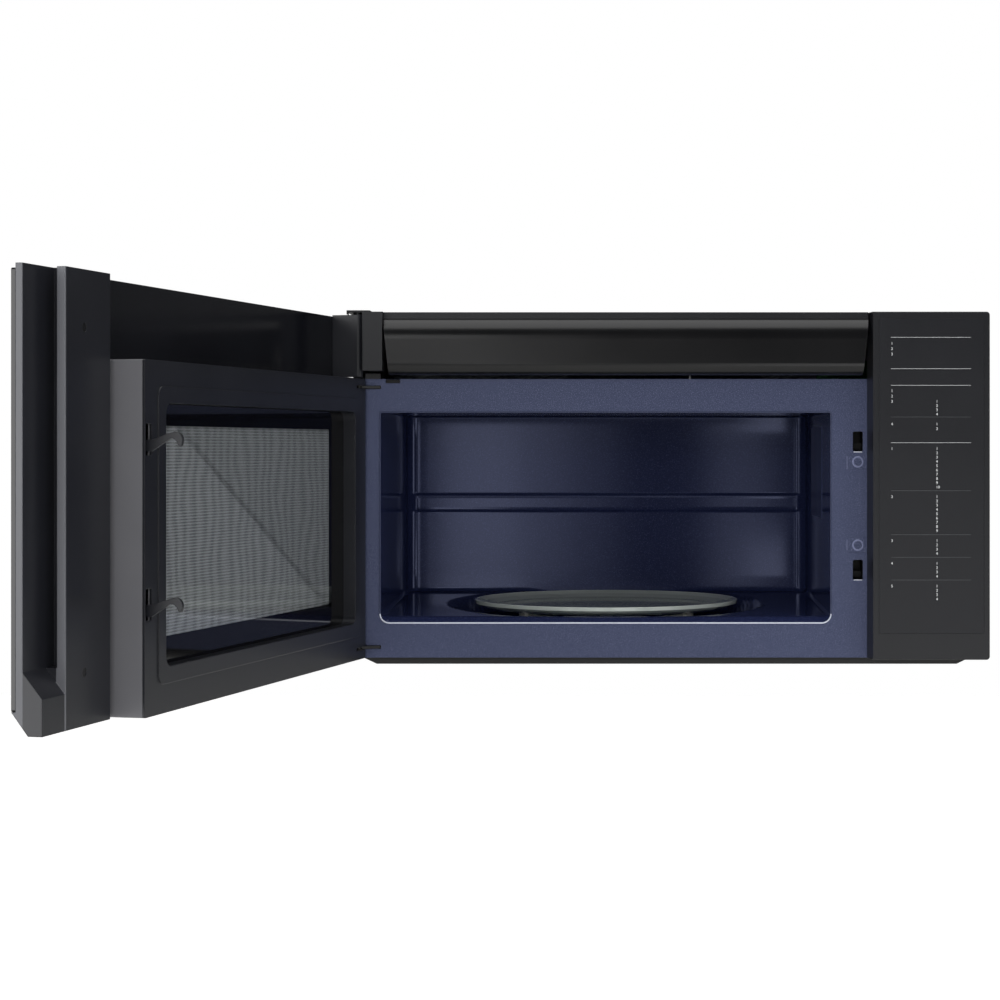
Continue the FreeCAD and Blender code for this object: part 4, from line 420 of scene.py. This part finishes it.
finishOf = {
    "door_frame": "frameAbs", "handle_rail": "railAbs", "choke_cover": "doorAbs", "choke_frame": "framePaint",
    "hinge_block": "doorAbs", "latch_key": "doorAbs", "label_panel": "panelAbs", "label_film": "filmPrint",
    "top_rail": "panelAbs", "air_deflector": "deflectorAbs", "interlock_switches": "slotAbs",
    "latch_body": "slotAbs", "cord_bush": "doorAbs", "face_plate": "plateEnamel",
    "cavity_liner": "roomEnamel", "side_panel_left": "casingPaint", "side_panel_right": "casingPaint",
    "top_cover": "casingPaint", "base_pan": "casingPaint", "hinge_bracket_top": "casingPaint",
    "rear_plate": "zinc", "waveguide": "zinc", "magnetron": "zinc", "cooling_fan_housing": "zinc",
    "vent_blower_housing": "zinc", "transformer": "copper", "hinge_leaf_upper": "blackPaint",
    "hinge_leaf_lower": "blackPaint", "hinge_pins": "blackPaint", "latch_screws": "plateEnamel",
    "handle_screws": "blackPaint", "capacitor": "steel", "cooling_fan_motor": "steel",
    "turntable_motor": "steel", "vent_blower_motor": "steel", "steam_sensor": "steel",
    "latch_spring": "steel", "control_board": "board", "line_filter_board": "board", "touch_board": "board",
    "waveguide_cover": "coverMica", "charcoal_filter": "carbon", "cooktop_lamps": "lensGlass",
    "cavity_lamp": "lensGlass", "lamp_lenses": "lensGlass", "door_glass": "blackGlass",
    "inner_glass": "windowGlass", "glass_tray": "trayGlass", "window_mesh": "screen",
    "hinge_bushes": "whiteAcetal", "turntable_coupler": "whiteAcetal", "roller_ring": "whiteAcetal",
    "roller_1": "whiteAcetal", "roller_2": "whiteAcetal", "roller_3": "whiteAcetal",
    "cooling_fan_blades": "whiteAcetal", "vent_blower_wheels": "whiteAcetal",
    "grease_filter_left": "alloy", "grease_filter_right": "alloy",
}
for node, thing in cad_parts.items():
    for index in range(len(thing.material_slots)):
        thing.material_slots[index].material = finish[finishOf[node]]
print("finishes on", len(finishOf), "nodes")


# ---- pieces

def addPiece(name, points, faces, material, body, smooth=True):
    mesh = bpy.data.meshes.new(name)
    mesh.from_pydata(points, [], faces)
    mesh.validate()
    mesh.update()
    mesh.materials.append(material)
    if smooth:
        mesh.polygons.foreach_set("use_smooth", [True] * len(mesh.polygons))
    piece = bpy.data.objects.new(name, mesh)
    bpy.context.collection.objects.link(piece)
    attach(piece, body)
    return piece


def addTube(name, points, radiusMm, closed, material, body):
    # a round rod or rolled edge that follows the points
    curve = bpy.data.curves.new(name, "CURVE")
    curve.dimensions = "3D"
    curve.bevel_depth = radiusMm / 1000
    curve.bevel_resolution = 3
    spline = curve.splines.new("POLY")
    spline.points.add(len(points) - 1)
    for spot, point in zip(spline.points, points):
        spot.co = (*point, 1)
    spline.use_cyclic_u = closed
    curve.materials.append(material)
    piece = bpy.data.objects.new(name, curve)
    bpy.context.collection.objects.link(piece)
    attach(piece, body)


def eased(value):  # 0 to 1 with soft ends
    value = min(1, max(0, value))
    return value * value * (3 - 2 * value)


# The oven room: one deep-drawn enamelled shell, so every corner and the floor's well are rounded.
room = {
    "left": -347.2, "right": 193.8, "mouth": 385.2, "back": 29.0, "low": 50.3, "high": 303.4,
    "shelf": 65.0, "shelfFront": 57.5, "shelfRun": 300.0, "lip": 11.0, "lipBlend": 14.0,
    "foot": 6.0, "footSteps": 5, "head": 3.0, "headSteps": 4, "corner": 14.0, "cornerSteps": 9,
    "wellSide": -76.7, "wellReach": 200.0, "wellRadius": 202.0, "wellWall": 14.0, "wellFloor": 40.0,
    "wellBack": 60.0, "wellBackReach": 50.0,
    "shaft": 6.0, "ribLow": 173.0, "ribHigh": 199.0, "ribPress": 2.2, "ribEdge": 3.5, "ribEnd": 8.0,
    "ribReach": 4.0, "ribRows": (-4, -1, 0, 1.2, 2.4, 3.6, 8),  # from each edge of the rib to its middle
    "lowRows": (90, 120, 150), "highRows": (230, 265),
    "step": 4.0, "rings": 52, "wall": 0.8,
}


def roomFloor(side, reach):
    # height of the pressed floor: a shelf that falls to the front lip, and a round well in it
    lipStart = room["mouth"] - room["lip"]
    fall = min(1, max(0, lipStart - reach) / room["shelfRun"])
    shelf = room["shelfFront"] + (room["shelf"] - room["shelfFront"]) * fall
    away = math.hypot(side - room["wellSide"], reach - room["wellReach"])
    slope = room["wellWall"] + room["wellBack"] * (1 - eased((reach - room["back"]) / room["wellBackReach"]))
    well = 1 - eased((away - room["wellRadius"] + slope) / slope)
    well *= 1 - eased((reach - lipStart + room["lipBlend"]) / room["lipBlend"])
    height = shelf + (room["wellFloor"] - shelf) * well
    return room["low"] + (height - room["low"]) * eased((room["mouth"] - reach) / room["lip"])


def wallLine():
    # the room's plan from the mouth along the left wall, the back and the right wall,
    # each point with its outward direction
    line = []
    corner, left, right, back = room["corner"], room["left"], room["right"], room["back"]
    count = round((room["mouth"] - back - corner) / room["step"])
    sideRun = [room["mouth"] + (back + corner - room["mouth"]) * i / count for i in range(count + 1)]
    line += [(left, reach, -1, 0) for reach in sideRun]
    for i in range(1, room["cornerSteps"]):
        turn = math.pi / 2 * i / room["cornerSteps"]
        line.append((left + corner - corner * math.cos(turn), back + corner - corner * math.sin(turn),
                     -math.cos(turn), -math.sin(turn)))
    count = round((right - left - 2 * corner) / room["step"])
    line += [(left + corner + (right - left - 2 * corner) * i / count, back, 0, -1) for i in range(count + 1)]
    for i in range(1, room["cornerSteps"]):
        turn = math.pi / 2 * i / room["cornerSteps"]
        line.append((right - corner + corner * math.sin(turn), back + corner - corner * math.cos(turn),
                     math.sin(turn), -math.cos(turn)))
    line += [(right, reach, 1, 0) for reach in reversed(sideRun)]
    return line


def ribPress(side, reach, height):
    # how far the rib across the back is pressed out
    if reach > room["back"] + room["ribReach"]:
        return 0
    ends = min(side - room["left"] - room["ribEnd"], room["right"] - room["ribEnd"] - side)
    rise = min(height - room["ribLow"], room["ribHigh"] - height)
    return room["ribPress"] * eased(ends / room["ribEdge"]) * eased(rise / room["ribEdge"])


points, faces = [], []
line = wallLine()
foot, head = room["foot"], room["head"]
rows = []  # each row: inset from the wall, rise over the floor or None, height or None
for i in range(room["footSteps"] + 1):
    turn = math.pi / 2 * i / room["footSteps"]
    rows.append((foot * (1 - math.sin(turn)), foot * (1 - math.cos(turn)), None))
low, high = room["ribLow"], room["ribHigh"]
tall = [*room["lowRows"], *[low + k for k in room["ribRows"]], (low + high) / 2,
        *[high - k for k in reversed(room["ribRows"])], *room["highRows"]]
rows += [(0, None, height) for height in tall]
for i in range(room["headSteps"] + 1):
    turn = math.pi / 2 * i / room["headSteps"]
    rows.append((head * (1 - math.cos(turn)), None, room["high"] - head + head * math.sin(turn)))
for inset, rise, height in rows:
    for side, reach, outX, outY in line:
        if rise is not None:
            top = roomFloor(side - outX * foot, reach - outY * foot) + rise
            points.append(place(side - outX * inset, reach - outY * inset, top))
        else:
            push = ribPress(side, reach, height) - inset
            points.append(place(side + outX * push, reach + outY * push, height))
width = len(line)
for row in range(len(rows) - 1):
    for i in range(width - 1):
        a = row * width + i
        faces.append((a, a + 1, a + width + 1, a + width))
lastRow = (len(rows) - 1) * width
faces.append(tuple(lastRow + i for i in range(width)))
count = round((room["right"] - room["left"] - 2 * foot) / room["step"])
front = [(room["right"] - foot - (room["right"] - room["left"] - 2 * foot) * i / count, room["mouth"])
         for i in range(1, count)]
loop = [(side - outX * foot, reach - outY * foot) for side, reach, outX, outY in line] + front
start = len(points)
points += [place(side, reach, roomFloor(side, reach)) for side, reach in front]
ring = list(range(width)) + list(range(start, start + len(front)))
for step in range(1, room["rings"] + 1):
    start = len(points)
    share = step / room["rings"]
    for side, reach in loop:
        away = math.hypot(side - room["wellSide"], reach - room["wellReach"])
        inX = room["wellSide"] + (side - room["wellSide"]) * room["shaft"] / away
        inY = room["wellReach"] + (reach - room["wellReach"]) * room["shaft"] / away
        x, y = side + (inX - side) * share, reach + (inY - reach) * share
        points.append(place(x, y, roomFloor(x, y)))
    inner = list(range(start, len(points)))
    for i in range(len(loop)):
        j = (i + 1) % len(loop)
        faces.append((ring[i], inner[i], inner[j], ring[j]))
    ring = inner
ovenRoom = addPiece("oven_room", points, faces, finish["roomEnamel"], "cabinet")
skin = ovenRoom.modifiers.new("sheet", "SOLIDIFY")
skin.thickness = room["wall"] / 1000
skin.offset = -1
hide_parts("cavity_liner")
print("oven room drawn:", len(faces), "faces")


plateFace = 386.0  # wall to the plate's enamelled face, from which its pressed details stand proud

# The plate's mouth is rolled over into the room: a thin edge all round. Along its lower run it is coloured
# near white, a painted highlight for the glare of the top light on the roll.
bead = {"radius": 0.9, "reach": plateFace + 0.3, "corner": 11.0, "topCorner": 2.5, "steps": 8}
beadRuns = (("mouth_bead_low", ((room["left"] + bead["corner"], bead["corner"], 180),
                                (room["right"] - bead["corner"], bead["corner"], 270)), "glareEnamel"),
            ("mouth_bead_high", ((room["right"] - bead["topCorner"], bead["topCorner"], 0),
                                 (room["left"] + bead["topCorner"], bead["topCorner"], 90)), "plateEnamel"))
# paler enamel: a painted highlight, used on the screw rings and the pad edges
finish["ringEnamel"] = speckledEnamel("pressedPadEnamelPaintedHighlight", "6E7492", "7E84A2", 0.2, tint="E4E8FF")
# near-white enamel: a painted highlight, used on the lower mouth edge and the latch slot lips
finish["glareEnamel"] = speckledEnamel("rolledEdgeEnamelPaintedGlare", "C6CAD8", "D4D8E4", 0.14, tint="E4E8FF")
for name, corners, kind in beadRuns:
    edgeLine = []
    for middleSide, radius, turn in corners:
        middleHeight = room["low"] + radius if turn >= 180 else room["high"] - radius
        for i in range(bead["steps"] + 1):
            angle = math.radians(turn + 90 * i / bead["steps"])
            edgeLine.append(place(middleSide + radius * math.cos(angle), bead["reach"],
                                  middleHeight + radius * math.sin(angle)))
    if kind == "plateEnamel":  # the sides run down to the lower corners
        edgeLine = ([place(room["right"], bead["reach"], room["low"] + bead["corner"])] + edgeLine
                    + [place(room["left"], bead["reach"], room["low"] + bead["corner"])])
    addTube(name, edgeLine, bead["radius"], False, finish[kind], "cabinet")
print("mouth edged")


# Shallow rings pressed round the two latch screws, in a paler enamel: a painted highlight on the pressed
# rise.
dimple = {"side": 226.0, "reach": plateFace + 0.4, "heights": (243.6, 143.7), "inner": 4.6, "outer": 6.9,
          "innerFall": 0.5, "outerFall": 0.8, "rise": 0.5, "steps": 40}
points, faces = [], []
for height in dimple["heights"]:
    start = len(points)
    for radius, lift in ((dimple["inner"], 0.0), (dimple["inner"] + dimple["innerFall"], dimple["rise"]),
                         (dimple["outer"] - dimple["outerFall"], dimple["rise"]), (dimple["outer"], 0.0)):
        for i in range(dimple["steps"]):
            angle = 2 * math.pi * i / dimple["steps"]
            points.append(place(dimple["side"] + radius * math.cos(angle), dimple["reach"] + lift,
                                height + radius * math.sin(angle)))
    for row in range(3):
        for i in range(dimple["steps"]):
            j = (i + 1) % dimple["steps"]
            a, b = start + row * dimple["steps"], start + (row + 1) * dimple["steps"]
            faces.append((a + i, a + j, b + j, b + i))
addPiece("screw_rings", points, faces, finish["ringEnamel"], "cabinet", False)

# The lower edge of each latch slot is turned out a little; it is coloured near white, a painted highlight
# where it catches the light.
lip = {"left": 220.8, "right": 231.0, "reach": plateFace + 0.6, "heights": (255.4, 101.9), "radius": 0.6}
for index, height in enumerate(lip["heights"]):
    ends = [place(side, lip["reach"], height) for side in (lip["left"], lip["right"])]
    addTube("slot_lip_" + str(index + 1), ends, lip["radius"], False, finish["glareEnamel"], "cabinet")

# The left edges of the two screw pads, as thin pale lines: a painted highlight along the edge of each pad.
pad = {"side": 213.0, "reach": plateFace + 0.7, "runs": ((234.5, 250.0), (137.5, 150.5)), "radius": 0.45}
for index, run in enumerate(pad["runs"]):
    ends = [place(pad["side"], pad["reach"], height) for height in run]
    addTube("pad_edge_" + str(index + 1), ends, pad["radius"], False, finish["ringEnamel"], "cabinet")

# A small rubber bumper on the plate that the door closes against.
bump = {"left": -340.0, "right": -323.0, "low": 338.0, "high": 342.6, "reach": plateFace + 0.4, "rise": 2.4,
        "soft": 1.0, "chamfer": 0.35}
points = []
for inset, rise in ((0, 0), (0, bump["rise"] - bump["soft"]),
                    (bump["chamfer"], bump["rise"] - bump["chamfer"]), (bump["soft"], bump["rise"])):
    points += [place(bump["left"] + inset, bump["reach"] + rise, bump["low"] + inset),
               place(bump["right"] - inset, bump["reach"] + rise, bump["low"] + inset),
               place(bump["right"] - inset, bump["reach"] + rise, bump["high"] - inset),
               place(bump["left"] + inset, bump["reach"] + rise, bump["high"] - inset)]
faces = []
for ringStart in (0, 4, 8):
    for i in range(4):
        j = (i + 1) % 4
        faces.append((ringStart + i, ringStart + j, ringStart + 4 + j, ringStart + 4 + i))
faces.append((12, 13, 14, 15))
finish["rubber"] = mouldedAbs("nitrileRubberMoulded", "0E0E10", "141416", 0.6)
addPiece("door_bumper", points, faces, finish["rubber"], "cabinet", False)
print("plate fitted")

# The tray's fire-polished rim, shown as a bright ring by a pale half-milky glass: a painted highlight for the
# overhead light that the rim reflects.
rim = {"radius": 166.6, "height": 66.3, "thick": 1.1, "steps": 96}
finish["rimGlass"] = clearGlass("trayRimGlassPaintedGlare", "E6ECE8", 0.05, 20.0, 0.35)
circle = []
for i in range(rim["steps"]):
    angle = 2 * math.pi * i / rim["steps"]
    circle.append(place(room["wellSide"] + rim["radius"] * math.cos(angle),
                        room["wellReach"] + rim["radius"] * math.sin(angle), rim["height"]))
addTube("tray_rim", circle, rim["thick"], True, finish["rimGlass"], "turntable")
print("tray rim laid")


# Print on the label: rules and numerals only, as on a table of cooking steps.
label = {
    "front": 416.0, "proud": 0.06, "ruleWall": 0.35, "faintWall": 0.2, "digitTall": 3.168,
    # pixels of the photograph, and what turns them into millimetres on the label
    "pixelsPerMm": 0.8431, "middlePx": 617, "middleSide": -62.9, "levelPy": 448, "levelHeight": 260.2,
    "leftPx": 891, "rightPx": 971, "secondPx": 936,
    "rules": (337.3, 368.7, 385.3, 442.7),
    "faintRules": (417.0, 490.7, 534.7, 557.3, 580.0),
    "firstColumn": (("1", 342.0), ("2", 347.3), ("3", 352.7), ("1", 389.3), ("2", 394.7), ("3", 400.0),
                    ("4", 422.7), ("1", 447.3), ("2", 495.3), ("3", 539.3), ("4", 562.0), ("5", 584.7)),
    "secondColumn": (  # top, step and count of each run of numerals
        (400.0, 4.27, 4), (422.7, 4.6, 2), (447.3, 4.27, 10), (495.3, 4.27, 9), (539.3, 4.3, 4),
        (562.0, 4.3, 4), (584.7, 4.3, 4)),
}


def onLabel(px, py):
    side = (px - label["middlePx"]) / label["pixelsPerMm"] + label["middleSide"]
    return side, label["levelHeight"] - (py - label["levelPy"]) / label["pixelsPerMm"]


def stripe(points, faces, left, right, height, wall, reach):
    # a flat printed line that is as tall as its wall
    start = len(points)
    points += [place(left, reach, height - wall / 2), place(right, reach, height - wall / 2),
               place(right, reach, height + wall / 2), place(left, reach, height + wall / 2)]
    faces.append((start, start + 1, start + 2, start + 3))


def addDigits(name, items, tall, reach, ink):
    # items: text, side, top height; each is set as type and turned into one flat mesh
    points, faces = [], []
    for text, side, top in items:
        curve = bpy.data.curves.new("type", "FONT")
        curve.body = text
        curve.size = 1.0
        thing = bpy.data.objects.new("type", curve)
        shape = bpy.data.meshes.new_from_object(thing)
        start = len(points)
        grow = tall / max(v.co.y for v in shape.vertices)
        points += [place(side + v.co.x * grow, reach, top - tall + v.co.y * grow) for v in shape.vertices]
        faces += [tuple(start + k for k in poly.vertices) for poly in shape.polygons]
        bpy.data.objects.remove(thing)
        bpy.data.meshes.remove(shape)
        bpy.data.curves.remove(curve)
    addPiece(name, points, faces, ink, "cabinet", False)


finish["printInk"] = mouldedAbs("screenPrintedWhiteInk", "D2D4D6", "DEE0E2", 0.5, 0.8, 0.002, 0)
finish["faintInk"] = mouldedAbs("screenPrintedGreyInk", "66686B", "707275", 0.5, 0.8, 0.002, 0)
reach = label["front"] + label["proud"]
for name, heights, wall, ink in (("label_rules", label["rules"], label["ruleWall"], "printInk"),
                                 ("label_faint_rules", label["faintRules"], label["faintWall"], "faintInk")):
    points, faces = [], []
    for py in heights:
        left, height = onLabel(label["leftPx"], py)
        stripe(points, faces, left, onLabel(label["rightPx"], py)[0], height, wall, reach)
    addPiece(name, points, faces, finish[ink], "cabinet", False)
items = [(text, *onLabel(label["leftPx"], py)) for text, py in label["firstColumn"]]
for py, step, count in label["secondColumn"]:
    for index in range(count):
        items.append((str(index + 1), *onLabel(label["secondPx"], py + index * step)))
addDigits("label_digits", items, label["digitTall"], reach, finish["printInk"])
print("label printed:", len(items), "numerals")
